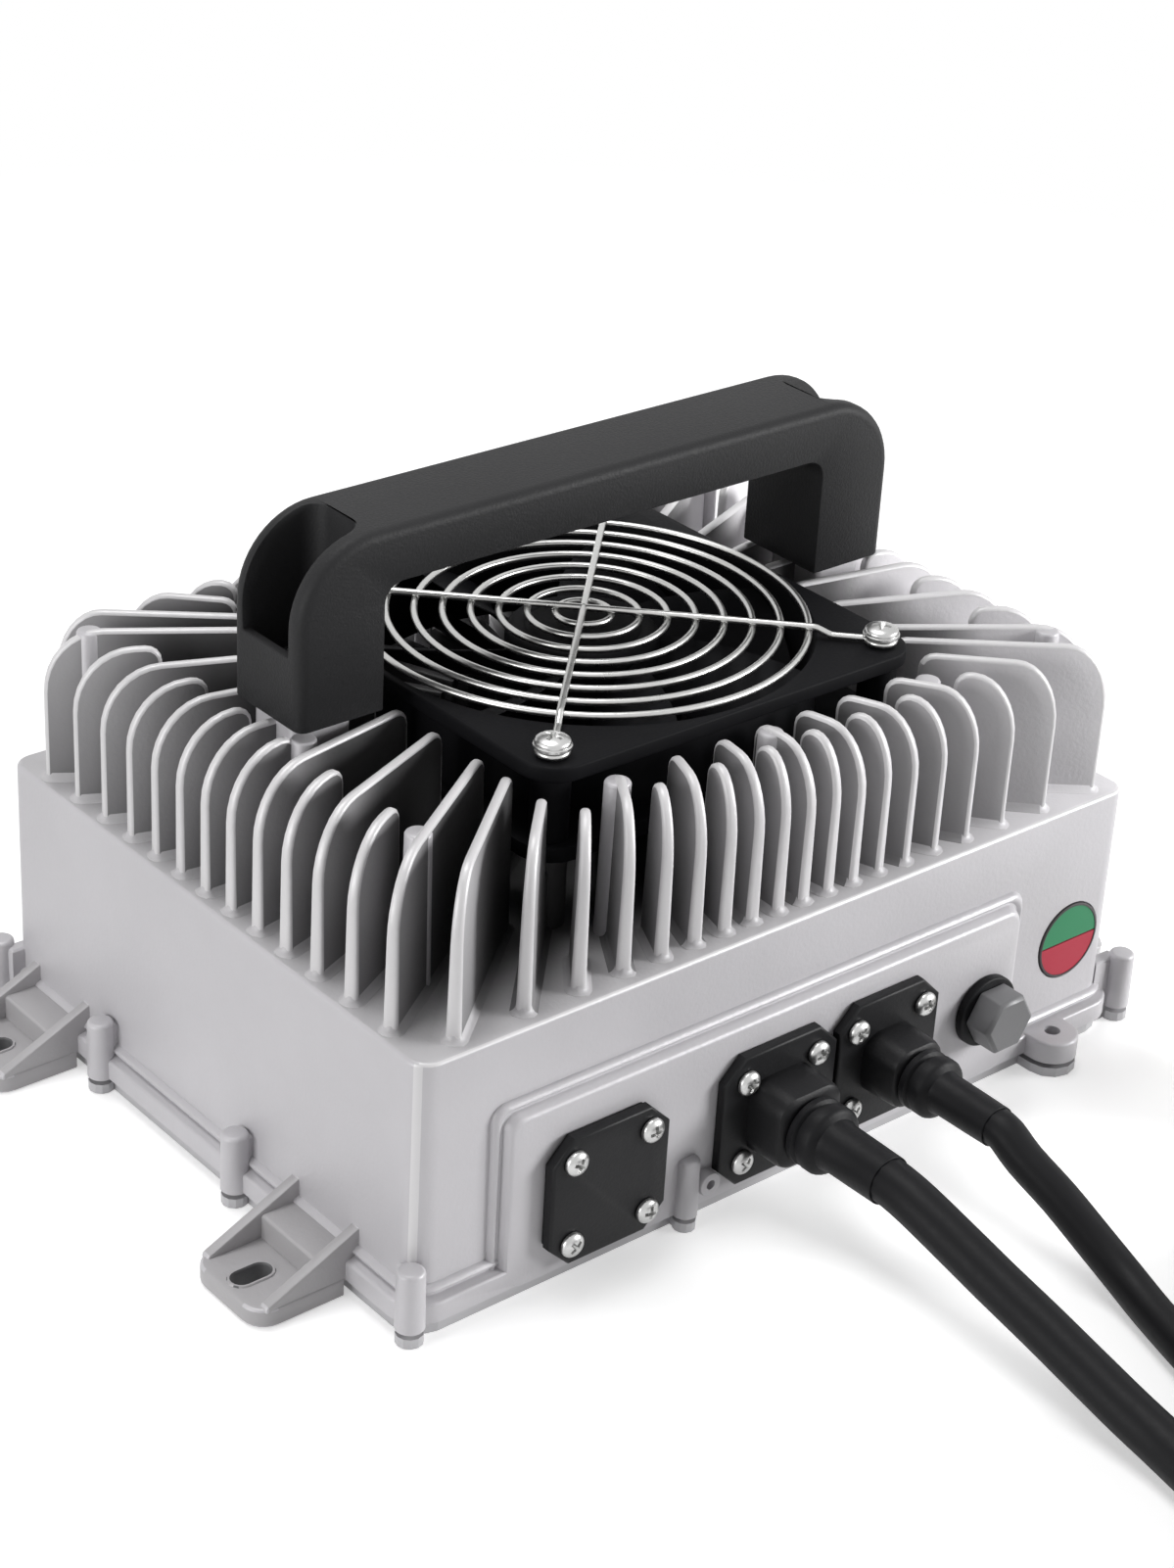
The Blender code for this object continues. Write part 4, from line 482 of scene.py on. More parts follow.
BOOT_END_Y = PANEL_Y - GAP - PLATE_THICKNESS - 0.0113 - 0.026
OUTPUT_COIL = (0.036, -0.367, 0.060)
INPUT_COIL = (0.075, -0.236, 0.050)
INWARDS_AT, UPWARDS_AT, OUTWARDS_AT, CROSSING = 290, 650, 1010, 70
OUTPUT_ROUTE = [
    (OUTPUT_X, -0.1352, 0.0257),
    (OUTPUT_X, -0.142, 0.0247),
    (-0.0100, -0.155, 0.0212),
    (-0.0097, -0.168, 0.0178),
    (-0.0097, -0.182, 0.0148),
    (-0.0098, -0.196, 0.0116),
    (-0.0100, -0.210, 0.0086),
    (-0.0107, -0.224, 0.0067),
    (-0.0150, -0.248, 0.0062),
    (-0.0220, -0.275, 0.0062),
    (-0.0280, -0.302, 0.0062),
]
INPUT_ROUTE = [
    (INPUT_X, -0.1352, 0.0262),
    (INPUT_X, -0.142, 0.0226),
    (0.0268, -0.153, 0.0176),
    (0.0278, -0.164, 0.0116),
    (0.0276, -0.175, 0.0070),
    (0.0250, -0.186, 0.0053),
]


def ease(t):
    t = max(0.0, min(1.0, t))
    return t * t * (3 - 2 * t)


def coil_points(x, y, mid, radius, total_turn):
    """Two layers of two turns: in along the floor, up, and out again on top."""
    found = []
    steps = round(total_turn / 12)
    for i in range(steps + 1):
        turn = total_turn * i / steps
        reach = mid + radius - 2 * radius * ease((turn - INWARDS_AT) / CROSSING)
        reach += 2 * radius * ease((turn - OUTWARDS_AT) / CROSSING)
        height = radius + LIFT + 2 * radius * ease((turn - UPWARDS_AT) / CROSSING)
        angle = radians(180 + turn)
        found.append(Vector((x + reach * cos(angle), y + reach * sin(angle), height)))
    return found


def cord_piece(name, path, radius):
    curve = bpy.data.curves.new(f"{name}_lead", "CURVE")
    curve.dimensions = "3D"
    curve.bevel_depth = radius
    curve.bevel_resolution = 4
    curve.use_fill_caps = True
    spline = curve.splines.new("POLY")
    spline.points.add(len(path) - 1)
    for spot, point in zip(spline.points, path):
        spot.co = (*point, 1.0)
    curve.materials.append(CABLE_JACKET)
    made = linked(f"{name}_lead", curve)
    settle(made, "black_rubber", f"{name}_cable", f"{name}_coil", f"{name}_tail")


def meeting_run(mid, radius):
    return sqrt((mid + 2 * radius + GAP) ** 2 - mid**2)


def coil_tie(name, coil, radius, angle):
    """A cable tie round the coil's section."""
    x, y, mid = coil
    turn = radians(angle)
    out = Vector((cos(turn), sin(turn), 0))
    along = Vector((-sin(turn), cos(turn), 0))
    centre = Vector((x, y, 2 * radius + LIFT)) + out * mid
    half, thick, half_width = 2 * radius - 0.0012, 0.0011, 0.0022
    bm = bmesh.new()
    rows = []
    for grow, shift in ((0, -half_width), (thick, -half_width), (thick, half_width), (0, half_width)):
        row = []
        for px, pz in centred(0, 0, half, half, radius * 0.8, 5):
            d = Vector((px, pz)).normalized() * grow
            row.append(bm.verts.new(centre + out * (px + d.x) + Vector((0, 0, pz + d.y)) + along * shift))
        rows.append(row)
    bridge(bm, zip(rows, rows[1:] + rows[:1]))
    return place(bm, name, [PLATE_BLACK], 40, "black_plastic")


def build_output_connector(x, y, z):
    profile = [(0, 0), (0.0072, 0), (0.0078, 0.0006), (0.0095, 0.008), (0.0122, 0.0095), (0.0130, 0.0105)]
    profile += [(0.0135, 0.012)]
    for i in range(6):
        base = 0.0132 + i * 0.0024
        profile += [(0.0135, base), (0.0128, base + 0.0005), (0.0128, base + 0.0010), (0.0135, base + 0.0015)]
    profile += [(0.0135, 0.0292), (0.0128, 0.030), (0.0115, 0.0304), (0.0115, 0.034), (0.0092, 0.034)]
    profile += [(0.0090, 0.0310), (0, 0.0310)]
    bm = solid(turned, profile, (x, y, z), 36, RIGHT)
    pin = [(0, 0.0305), (0.0016, 0.0305), (0.0016, 0.0330), (0.0011, 0.0336), (0, 0.0336)]
    for side in (-1, 1):
        turned(bm, pin, (x, y + side * 0.0042, z), 14, RIGHT, 1)
    mats = [PLATE_BLACK, PIN_BRASS]
    return place(bm, "output_connector_detail", mats, 35, "black_plastic", "output_connector")


def build_input_plug(x, y, z):
    shape = [
        (0, 0.0055, 0.0055), (0.0006, 0.0064, 0.0064), (0.006, 0.0070, 0.0069), (0.010, 0.0080, 0.0075),
        (0.013, 0.0110, 0.0090), (0.016, 0.0138, 0.0104), (0.024, 0.0150, 0.0114), (0.0352, 0.0155, 0.0118),
        (0.0370, 0.0152, 0.0115), (0.0380, 0.0142, 0.0105),
    ]
    rings = [facing_front(centred(x, z, half_x, half_z, 0.005, 6), y + d) for d, half_x, half_z in shape]
    bm = solid(loft, rings)
    for side in (-1, 1):
        blade = centred(x + side * 0.0064, z, 0.0008, 0.0032, 0.0004, 3)
        loft(bm, [facing_front(blade, y + d) for d in (0.0375, 0.0545, 0.055)], 1)
    pin = [(0, 0.0005), (0.0018, 0.0005), (0.0024, 0.0014), (0.0024, 0.0195), (0, 0.0195)]
    turned(bm, pin, (x, y + 0.057, z + 0.0065), 18, FORWARD, 1)
    return place(bm, "input_plug_detail", [PLATE_BLACK, PIN_BRASS], 40, "black_plastic", "input_plug")


def build_lead(
    name, exit_point, route, cable, coil, total_turn, tie_angle, way, spare, rest, far_piece
):
    """One lead with its coil and tie, and its connector or plug at rest on the floor beyond the coil."""
    x, y, mid = coil
    way = Vector(way)
    run = meeting_run(mid, cable)
    start = Vector((x, y, 3 * cable + LIFT)) + Vector((way.y, -way.x, 0)) * (mid + cable)
    tail = [start + way * (run * k / 4) for k in range(1, 5)]
    level = tail[-1]
    for share in [k / 8 for k in range(1, 9)]:
        tail.append(level + way * ((spare - GAP) * share) - Vector((0, 0, (start.z - rest) * ease(share))))
    end = start + way * (run + spare)
    others = [far_piece(end.x, end.y, rest), coil_tie(f"{name}_tie", coil, cable, tie_angle)]
    entry = Vector((x - mid - cable, y + run, cable + LIFT))
    path = smooth_curve([exit_point] + route + [entry], 3) + coil_points(*coil, cable, total_turn) + tail
    cord_piece(name, path, cable)


build_lead(
    "output", (OUTPUT_X, BOOT_END_Y - GAP, OUTPUT_Z), OUTPUT_ROUTE, OUTPUT_CABLE, OUTPUT_COIL, 1170, 60,
    (1, 0, 0), 0.030, 0.0140, build_output_connector,
)
build_lead(
    "input", (INPUT_X, BOOT_END_Y - GAP, INPUT_Z), INPUT_ROUTE, INPUT_CABLE, INPUT_COIL, 1260, -20,
    (0, 1, 0), 0.028, 0.0122, build_input_plug,
)


# Housing

COLUMN_SPOTS = [(-HALF_L - 0.00195, -HALF_D - 0.001), (HALF_L + 0.0070, -HALF_D - 0.0005)]
COLUMN_SPOTS += [(sx * (HALF_L + 0.0039), HALF_D + 0.001) for sx in (-1, 1)]
COLUMN_SPOTS += [(sx * (HALF_L + 0.0039), y) for y in (-0.0205, 0.0395) for sx in (-1, 1)]
FACE_COLUMNS = [(-0.03675, -HALF_D - 0.0047), (-0.03675, HALF_D + 0.0047)]
EJECTOR_SPOTS = [
    (-0.0950, -0.0583), (-0.0430, -0.0650), (0.0031, -0.0668), (0.0543, -0.0680), (0.1002, -0.0651),
    (-0.0904, -0.0078), (-0.1010, 0.0687), (-0.0430, 0.0660), (0.0031, 0.0670), (0.0543, 0.0670),
    (0.1002, 0.0660),
]
FOOT_SPOTS = [(-1, -0.0525), (1, -0.0525), (-1, 0.064), (1, 0.064)]
FILLET = ((-0.0005, 0.0016), (0.0001, 0.0014), (0.0004, 0.0008), (0.0010, 0.0003), (0.0022, -0.0001))


def body_ring(grow, height, steps=8):
    outline = centred(0, 0, HALF_L + grow, HALF_D + grow, BODY_CORNER + grow, steps)
    return upright(outline, height)


def shell_block(bm):
    edge = 0.0012
    rings = [body_ring(0.0004, RIM_BOTTOM), body_ring(0.0002, 0.030), body_ring(0, BODY_TOP - edge)]
    rings += [body_ring(-edge * back, BODY_TOP - edge + edge * rise) for back, rise in quarter(4, 1)]
    loft(bm, rings)


def flange_block(bm):
    """The flange round the foot of the walls, a groove above it, and a low crest on the wall."""
    edge = 0.0009
    rings = [body_ring(FLANGE_OUT - 0.0004, RIM_BOTTOM), body_ring(FLANGE_OUT, RIM_BOTTOM + 0.0004)]
    rings += [body_ring(FLANGE_OUT - edge * back, 0.0088 + edge * rise) for back, rise in quarter(4)]
    crest = [
        (0.0099, 0.0022), (0.0102, 0.0013), (0.0108, 0.0012), (0.0111, 0.0019), (0.0116, 0.0020),
        (0.0122, 0.0016), (0.0127, 0.0006), (0.0131, -0.001),
    ]
    loft(bm, rings + [body_ring(grow, height) for height, grow in crest])


def panel_block(bm):
    """Raised connector panel: a low ledge, a shallow groove and then the soft crest of the face."""
    left, right, top, low = -0.0907, 0.0734, 0.0505, RIM_BOTTOM + 0.0002
    rings = []
    steps = (
        (-0.0020, 0.0038), (0.0006, 0.0038), (0.0011, 0.0036), (0.0017, 0.0031), (0.0019, 0.0026),
        (0.0018, 0.0022), (0.0013, 0.0017), (0.0014, 0.0013), (0.0034, 0.0006), (0.0039, 0.0002),
        (0.0042, -0.0005),
    )
    for out, grow in steps:
        outline = rounded_rectangle(left - grow, low, right + grow, top + grow, 0.004, 6)
        rings.append(facing_front(outline, FACE_Y - out))
    loft(bm, rings)


def column_block(bm, x, y, radius):
    profile = [(0, RIM_BOTTOM), (radius + 0.0002, RIM_BOTTOM), (radius, COLUMN_TOP - 0.0011)]
    profile += round_top(radius, COLUMN_TOP, 0.0011, 4, 1) + [(0, COLUMN_TOP)]
    turned(bm, profile, (x, y, 0), 28)


def web_block(bm, x0, y0, x1, y1):
    """The square web between a column and the wall, with a soft top."""
    shape = ((RIM_BOTTOM + GAP, 0), (0.0172, 0), (0.0180, 0.0002), (0.0184, 0.0008))
    loft(bm, [upright(rectangle(x0 + d, y0 + d, x1 - d, y1 - d), height) for height, d in shape])


def foot_piece(side, y):
    """One foot: plate with a slot, step and two ribs, edges rounded."""
    inner = HALF_L + FLANGE_OUT + 2 * GAP
    outer = HALF_L + 0.0288
    half, corner, rib_width = 0.01375, 0.006, 0.003
    wall, step = HALF_L - 0.0018, HALF_L + 0.011
    x, run = side * (HALF_L + 0.0210), 0.00265

    def outline(inset, height):
        row = arc(outer - corner, y - half + corner, corner - inset, -90, 0, 6)
        row += arc(outer - corner, y + half - corner, corner - inset, 0, 90, 6)
        row = [(inner, y - half + inset)] + row + [(inner, y + half - inset)]
        return upright([(side * px, py) for px, py in row], height)

    def slot(radius, height):
        return upright(arc(x + run, y, radius, -90, 90, 8) + arc(x - run, y, radius, 90, 270, 8), height)

    def block_outline(inset, height):
        low_y, high_y = y - half + 0.0015, y + half - 0.0015
        return upright(rectangle(side * wall, low_y, side * (step - inset), high_y), height)

    base = helper(solid(loft, rounded_stack(outline, 0.0, 0.005, 0.0007, 3)), "foot", CAST)
    carve(base, [helper(solid(loft, [slot(0.0026, -0.002), slot(0.0026, 0.007)]))])
    parts = reopened(base)
    merge(parts, solid(swept, slot(0.0031, 0.0050), 0.0005, 6, True))
    merge(parts, solid(loft, rounded_stack(block_outline, RIM_BOTTOM, 0.0115, 0.0008, 3, False)))
    face = [(wall, RIM_BOTTOM), (outer - 0.0028, RIM_BOTTOM), (outer - 0.0030, 0.0056), (HALF_L, 0.0175)]
    face = [(side * px, pz) for px, pz in face + [(wall, 0.0175)]]
    for low in (y - half + GAP, y + half - rib_width - GAP):
        rib = solid(loft, [facing_front(face, low), facing_front(face, low + rib_width)])
        outwards(rib)
        bevel(rib, list(rib.edges), 0.0006, 2)
        merge(parts, rib)
    # Painted shade: the slot's walls take the dark slot finish, and the faces round the slot and the broad
    # faces take the darker feet finish; the narrow edge bands keep the plain casting and stand out paler.
    for face in parts.faces:
        middle = face.calc_center_median()
        off_x, off_y = abs(middle.x - x), abs(middle.y - y)
        if abs(face.normal.z) < 0.5 and off_x < 0.0056 and off_y < 0.0028:
            face.material_index = 3
        elif (off_x < 0.0068 and off_y < 0.0042) or face.calc_area() > 5e-6:
            face.material_index = 2
        else:
            face.material_index = 0
    return parts


def fin(bm, base_x, base_y, length, arc_depth, under_fan=0.0):
    """One tapered fin with round edges and a fillet where it meets the top."""
    rise = 0.017
    base = Vector((base_x, base_y, 0))
    inward = Vector((-base_x, FIN_AIM_Y - base_y, 0)).normalized()
    across = Vector((-inward.y, inward.x, 0))
    inner = min(0.004, max(0.0005, length - arc_depth))
    outline = [(0.0, FIN_ROOT), (0.0, FIN_TOP - rise)]
    outline += arc(arc_depth, FIN_TOP - rise, arc_depth, 180, 90, 8, rise)[1:]
    skip = 0 if length - arc_depth > inner + 1e-5 else 1
    outline += arc(length - inner, FIN_TOP - inner, inner, 90, 0, 4)[skip:]
    reach = length
    if under_fan > 0:
        reach, step = length + under_fan, FAN_BOTTOM - 0.003
        outline += [(length, step), (reach, step)]
    outline += [(reach, FIN_ROOT)]

    def half_at(height):
        return (0.0036 - 0.0012 * (height - BODY_TOP) / (FIN_TOP - BODY_TOP)) / 2

    def at(along, sideways, height):
        return base + Vector((0, 0, height)) + inward * along + across * sideways

    one = bmesh.new()
    # Slot 0, on the edge band and its bevel, is the rims' painted highlight; slot 1, on the sides, is their
    # painted shade.
    rows = loft(one, [[at(d, sign * half_at(z), z) for d, z in outline] for sign in (-1, 1)], 0, 1)
    outwards(one)
    rim = []
    for row in rows:
        for first, second in zip(row, row[1:] + row[:1]):
            if first.co.z >= BODY_TOP or second.co.z >= BODY_TOP:
                rim.append(one.edges.get((first, second)))
    bevel(one, rim, 0.00095, 3, clamp_overlap=True, material=0)
    merge(bm, one)
    rings = []
    # The fillet takes slot 2, the deck's painted shade.
    for up, grow in FILLET:
        half = half_at(BODY_TOP + up) + grow
        corners = rounded_rectangle(-grow, -half, reach + grow, half, half * 0.8, 2)
        rings.append([at(px, py, BODY_TOP + up) for px, py in corners])
    merge(bm, solid(loft, rings, 2))


def run_to_box(x, y, half_x, half_y):
    inward = Vector((-x, FIN_AIM_Y - y)).normalized()
    runs = (abs(x) - half_x) / max(abs(inward.x), 1e-9), (abs(y) - half_y) / max(abs(inward.y), 1e-9)
    return max(runs)


def even_angles(low, high, middle, reach, each_way):
    """Places along an edge that are evenly spread in angle, seen from the middle."""
    first, last = atan2(low - middle, reach), atan2(high - middle, reach)
    turns = [first + (last - first) * i / (2 * each_way) for i in range(2 * each_way + 1)]
    return [(i - each_way, middle + reach * tan(turn)) for i, turn in enumerate(turns)]


def build_fins():
    """Long fins reach the fan and run on under it; short ones between them end further out."""
    bm = bmesh.new()
    face_reach, end_reach, fan_half = HALF_D - 0.0047, HALF_L - 0.0031, 0.062
    face_fins, end_fins = 9, 6
    spots = []
    for i, x in even_angles(-HALF_L + 0.0121, HALF_L - 0.0086, 0.0055, face_reach, face_fins):
        spots += [(i, x, side * face_reach, 0.0115) for side in (-1, 1)]
    for i, y in even_angles(-HALF_D + 0.0159, HALF_D - 0.0132, 0.0069, end_reach, end_fins):
        spots += [(i, side * end_reach, y, 0.015) for side in (-1, 1)]
    for i, x, y, arc_depth in spots:
        corner = abs(i) == face_fins
        if i % 2 == 0 or corner:
            length = run_to_box(x, y, fan_half, fan_half)
            under = 0 if corner else hypot(x, y - FIN_AIM_Y) - length - 0.034
        else:
            length, under = run_to_box(x, y, end_reach - 0.0195, face_reach - 0.0125), 0
        fin(bm, x, y, length, min(arc_depth, length - 0.004), under)
    fins = place(bm, "housing_fins", [FIN_RIMS_PAINTED_HIGHLIGHT, FIN_SIDES_PAINTED_SHADE, DECK_PAINTED_SHADE], 40, "cast_aluminium")
    # Fin faces under the fan all take slot 1, the fin sides' painted shade.
    for face in fins.data.polygons:
        if max(abs(face.center.x), abs(face.center.y)) < fan_half:
            face.material_index = 1


def build_casting():
    body = helper(solid(shell_block), "housing_casting", CAST)
    tools = [helper(solid(block), "block", CAST) for block in (flange_block, panel_block)]
    bm = bmesh.new()
    for spots, radius in ((COLUMN_SPOTS, 0.0034), (FACE_COLUMNS, 0.0029)):
        for x, y in spots:
            column_block(bm, x, y, radius)

    def ear_outline(inset, height):
        back = [(0.0965 - inset, FACE_Y + 0.002), (0.0823 + inset, FACE_Y + 0.002)]
        return upright(arc(EAR_X, EAR_Y, 0.0071 - inset, -180, 0, 16) + back, height)

    loft(bm, rounded_stack(ear_outline, RIM_BOTTOM, 0.010, 0.0009, 3, False))
    tools.append(helper(bm, "columns", CAST))
    bm = bmesh.new()
    half_web = 0.0022
    for x, y in COLUMN_SPOTS:
        inside = copysign(HALF_L - 0.002, x)
        mid = y if abs(y) < HALF_D else copysign(HALF_D - 0.0025, y)
        web_block(bm, min(x, inside), mid - half_web, max(x, inside), mid + half_web)
    for x, y in FACE_COLUMNS:
        inside = copysign(HALF_D - 0.002, y)
        web_block(bm, x - half_web, min(y, inside), x + half_web, max(y, inside))
    tools.append(helper(bm, "webs", CAST))
    lug = [(0, -0.002), (0.0032, -0.002), (0.0032, 0.0066), (0.0030, 0.0071), (0.0027, 0.0072), (0, 0.0072)]
    tools.append(helper(solid(turned, lug, (EYE_X, FACE_Y, EYE_Z), 32, FORWARD), "eye", CAST))
    carve(body, tools, "UNION")
    bm = bmesh.new()
    turned(bm, rod(0.0022, RIM_BOTTOM - 0.002, 0.012), (EAR_X, EAR_Y, 0), 20)
    turned(bm, rod(0.0013, 0.0045, 0.0080), (EYE_X, FACE_Y, EYE_Z), 24, FORWARD)
    turned(bm, rod(0.0111, -0.0012, 0.002), (LENS_X, FACE_Y, LENS_Z), 48, FORWARD)
    turned(bm, rod(0.0053, -0.008, 0.006), (VENT_X, FACE_Y, VENT_Z), 24, FORWARD)
    holes = helper(bm)
    cavity = solid(loft, [body_ring(-0.0035, RIM_BOTTOM - 0.002, 4), body_ring(-0.0035, 0.067, 4)])
    carve(body, [helper(cavity), holes])
    bm = reopened(body)
    for side, y in FOOT_SPOTS:
        merge(bm, foot_piece(side, y))
    finishes = [CAST, DECK_PAINTED_SHADE, FOOT_PAINTED_SHADE, SLOT_PAINTED_SHADE, FIN_RIMS_PAINTED_HIGHLIGHT]
    casting = place(bm, "housing_casting_detail", finishes, 32, "cast_aluminium", "housing")
    # The top face takes the deck's painted shade; the rounded front top edge and the faces round the end
    # corners take the rims' painted highlight.
    for face in casting.data.polygons:
        middle, way = face.center, face.normal
        corner_highlight_band = 0.45 < abs(way.y) < abs(way.x) and abs(middle.x) > HALF_L - BODY_CORNER
        top_edge_highlight_band = 0.2 < way.z < 0.95 and way.y < -0.3 and middle.z > BODY_TOP - 0.004
        if way.z > 0.95 and abs(middle.z - BODY_TOP) < 0.0004:
            face.material_index = 1
        elif (corner_highlight_band and middle.z > 0.02) or top_edge_highlight_band:
            face.material_index = 4


def build_posts():
    """The fan's posts in the shade, the handle's posts, and the ejector posts between the fins."""
    bm = bmesh.new()
    # The fan's posts take slot 1, the fin sides' painted shade.
    for x, y in FAN_SPOTS:
        turned(bm, rod(0.0048, FIN_ROOT, FAN_BOTTOM - GAP), (x, y, 0), 20, UP, 1)
    for x in (-HANDLE_SCREW_X, HANDLE_SCREW_X):

        def outline(inset, height, x=x):
            grow = 0.0006 * (1 - (height - BODY_TOP) / 0.042) - inset
            return upright(centred(x, HANDLE_Y, 0.0084 + grow, 0.009 + grow, 0.003, 5), height)

        loft(bm, rounded_stack(outline, FIN_ROOT, 0.1142, 0.0005, 3, False))
    radius, top, edge = 0.0032, 0.1122, 0.0007
    profile = [(0, FIN_ROOT), (0.0037, FIN_ROOT), (radius, top - edge)]
    profile += [(radius - edge * 0.4, top - edge * 0.3), (radius - edge, top), (0, top)]
    for x, y in EJECTOR_SPOTS:
        turned(bm, profile, (x, y, 0), 24)
    place(bm, "housing_posts", [CAST, FIN_SIDES_PAINTED_SHADE], 35, "cast_aluminium")


build_casting()
build_posts()
build_fins()


# Screws

SCREW_SIDES = 28


def cross_cut(centre, turn, half, width, depth):
    """The recess of a cross-head screw, as a helper for a Boolean."""
    plus = [(half, -width), (half, width), (width, width), (width, half), (-width, half), (-width, width)]
    plus += [(-px, -py) for px, py in plus]
    rings = []
    for share, level in ((1.0, 0.001), (1.0, 0.0), (0.35, -depth)):
        rings.append([turn @ Vector((px * share, py * share, level)) + Vector(centre) for px, py in plus])
    return helper(solid(loft, rings), "cross")


def screw(name, centre, way, shank, length, head, rise, twist, washer=0.0):
    """A cross-head screw: domed head with a round edge, recess, shank, and a washer if it has one."""
    turn = way @ Matrix.Rotation(radians(twist), 3, "Z")
    brim = washer + rise * 0.45 * 0.6
    profile = [(0, -length), (shank * 0.6, -length), (shank, -length + shank * 0.5), (shank, washer)]
    profile += [(head, washer), (head, brim)]
    dome = [(head * (1 - back), brim + (washer + rise - brim) * up) for back, up in quarter(6, 1)]
    profile += dome[:-1] + [(0, washer + rise)]
    made = helper(solid(turned, profile, centre, SCREW_SIDES, turn), f"{name}_detail", SCREW_STEEL)
    top = Vector(centre) + turn @ Vector((0, 0, washer + rise - 0.0001))
    carve(made, [cross_cut(top, turn, head * 0.62, head * 0.15, rise * 0.75)])
    if washer:
        bm = bmesh.new()
        bm.from_mesh(made.data)
        outer, edge = head * 1.08, 0.0002
        profile = [(shank, 0), (outer, 0), (outer, washer - edge), (outer - edge, washer), (shank, washer)]
        merge(bm, solid(turned, profile, centre, SCREW_SIDES, turn))
        bm.to_mesh(made.data)
        bm.free()
        soften(made, 35)
    settle(made, "screw_steel", name)


def build_screws():
    for index, (x, y) in enumerate(FAN_SPOTS):
        twist = (20, 65, 38, 10)[index]
        screw(f"fan_screw_{index + 1}", (x, y, 0.1184), UP, 0.002, 0.034, 0.0043, 0.0020, twist, 0.0008)
    for side, word in ((-1, "left"), (1, "right")):
        spot = (side * HANDLE_SCREW_X, HANDLE_Y, 0.1249)
        screw(f"handle_screw_{word}", spot, UP, 0.00276, 0.026, 0.0046, 0.0032, 30, 0.0008)
    blank = ("blank", BLANK_X, BLANK_Z, BLANK_GASKET)
    for prefix, x, z, seat in (blank, ("output", OUTPUT_X, OUTPUT_Z, GAP), ("input", INPUT_X, INPUT_Z, GAP)):
        y = PANEL_Y - PLATE_THICKNESS - seat - GAP
        for index, (sx, sz) in enumerate(((-1, 1), (1, 1), (-1, -1), (1, -1))):
            twist = (12, 40, 75, 28)[index] + len(prefix) * 11
            spot = (x + sx * PLATE_HALF_PITCH, y, z + sz * PLATE_HALF_PITCH)
            screw(f"{prefix}_screw_{index + 1}", spot, FORWARD, 0.0015, 0.009, 0.0032, 0.0021, twist)
    profile = [(0, 0.0003), (0.0020, 0.0003), (0.0021, 0.0006), (0.0013, 0.0020), (0.0013, 0.0125)]
    profile += [(0.0009, 0.0130), (0, 0.0130)]
    for index, (x, y) in enumerate(COLUMN_SPOTS + FACE_COLUMNS):
        name = f"cover_screw_{index + 1}"
        made = helper(solid(turned, profile, (x, y, 0), SCREW_SIDES), f"{name}_detail", SCREW_STEEL)
        carve(made, [cross_cut((x, y, 0.0004), DOWN, 0.0014, 0.0004, 0.0012)])
        settle(made, "screw_steel", name)


build_screws()


# Fan


def build_guard():
    bm = bmesh.new()
    ring_z = FAN_TOP + 0.0015
    arm_z = ring_z + 2 * GUARD_WIRE - 0.0003
    loop_z = FAN_TOP + GAP + GUARD_WIRE
    for ring in range(1, RING_COUNT + 1):
        swept(bm, upright(circle(0, 0, ring * RING_PITCH, 24 + 10 * ring), ring_z), GUARD_WIRE, 10, True)
    last = RING_COUNT * RING_PITCH
    bend = [(last + 0.0004, arm_z), (last + 0.0018, arm_z - 0.0002), (last + 0.0050, loop_z + 0.0002)]
    bend += [(last + 0.0066, loop_z), (FAN_PITCH / sqrt(2) - LOOP_RADIUS, loop_z)]
    for turn in (radians(45), radians(135)):
        way = Vector((cos(turn), sin(turn), 0))
        first = smooth_curve([way * -s + Vector((0, 0, z)) for s, z in bend[::-1]], 4)
        second = smooth_curve([way * s + Vector((0, 0, z)) for s, z in bend], 4)
        swept(bm, first + second, GUARD_WIRE, 10)
    for x, y in FAN_SPOTS:
        swept(bm, upright(circle(x, y, LOOP_RADIUS, 32), loop_z), GUARD_WIRE, 10, True)
    place(bm, "fan_guard_detail", [WIRE], 60, "plated_wire", "fan_guard")


def build_fan_frame():
    low, high = FAN_BOTTOM, FAN_TOP
    half, corner, bore, through = 0.060, 0.0095, 0.0575, 0.001

    def square(inset, height):
        return upright(centred(0, 0, half - inset, half - inset, corner - inset * 0.5, 8), height)

    body = helper(solid(loft, rounded_stack(square, low, low + 0.004, 0.0005, 2)), "fan_frame", FAN_BLACK)
    top = helper(solid(loft, rounded_stack(square, high - 0.004, high, 0.0006, 3)))
    bm = solid(turned, rod(0.0597, low + 0.002, high - 0.002), (0, 0, 0), 96)
    for x, y in FAN_SPOTS:
        turned(bm, rod(0.0048, low + 0.002, high - 0.002), (x, y, 0), 20)
    carve(body, [top, helper(bm)], "UNION")
    profile = [(0, low - through), (0.0582, low - through), (bore, low + 0.0012), (bore, high - 0.0020)]
    profile += [(0.0581, high - 0.0006), (0.0592, high + through), (0, high + through)]
    bm = solid(turned, profile, (0, 0, 0), 112)
    for x, y in FAN_SPOTS:
        turned(bm, rod(0.0023, low - through, high + through), (x, y, 0), 20)
    carve(body, [helper(bm)])
    bm = reopened(body)
    section = rounded_rectangle(-0.003, low + GAP, 0.003, low + 0.003, 0.0008, 3)
    for turn in (0, 90, 180, 270):
        spin = Matrix.Rotation(radians(turn), 3, "Z")
        merge(bm, solid(loft, [[spin @ Vector((d, py, pz)) for py, pz in section] for d in (0.012, 0.0585)]))
    profile = [(0.0023, low), (0.0186, low), (0.0190, low + 0.0005), (0.0190, HUB_TOP), (0.014, HUB_TOP)]
    profile += [(0.014, low + 0.0155), (0.0135, low + 0.016), (0.0023, low + 0.016)]
    merge(bm, solid(turned, profile, (0, 0, 0), 48))
    place(bm, "fan_frame_detail", [FAN_BLACK], 35, "fan_plastic", "fan_frame")


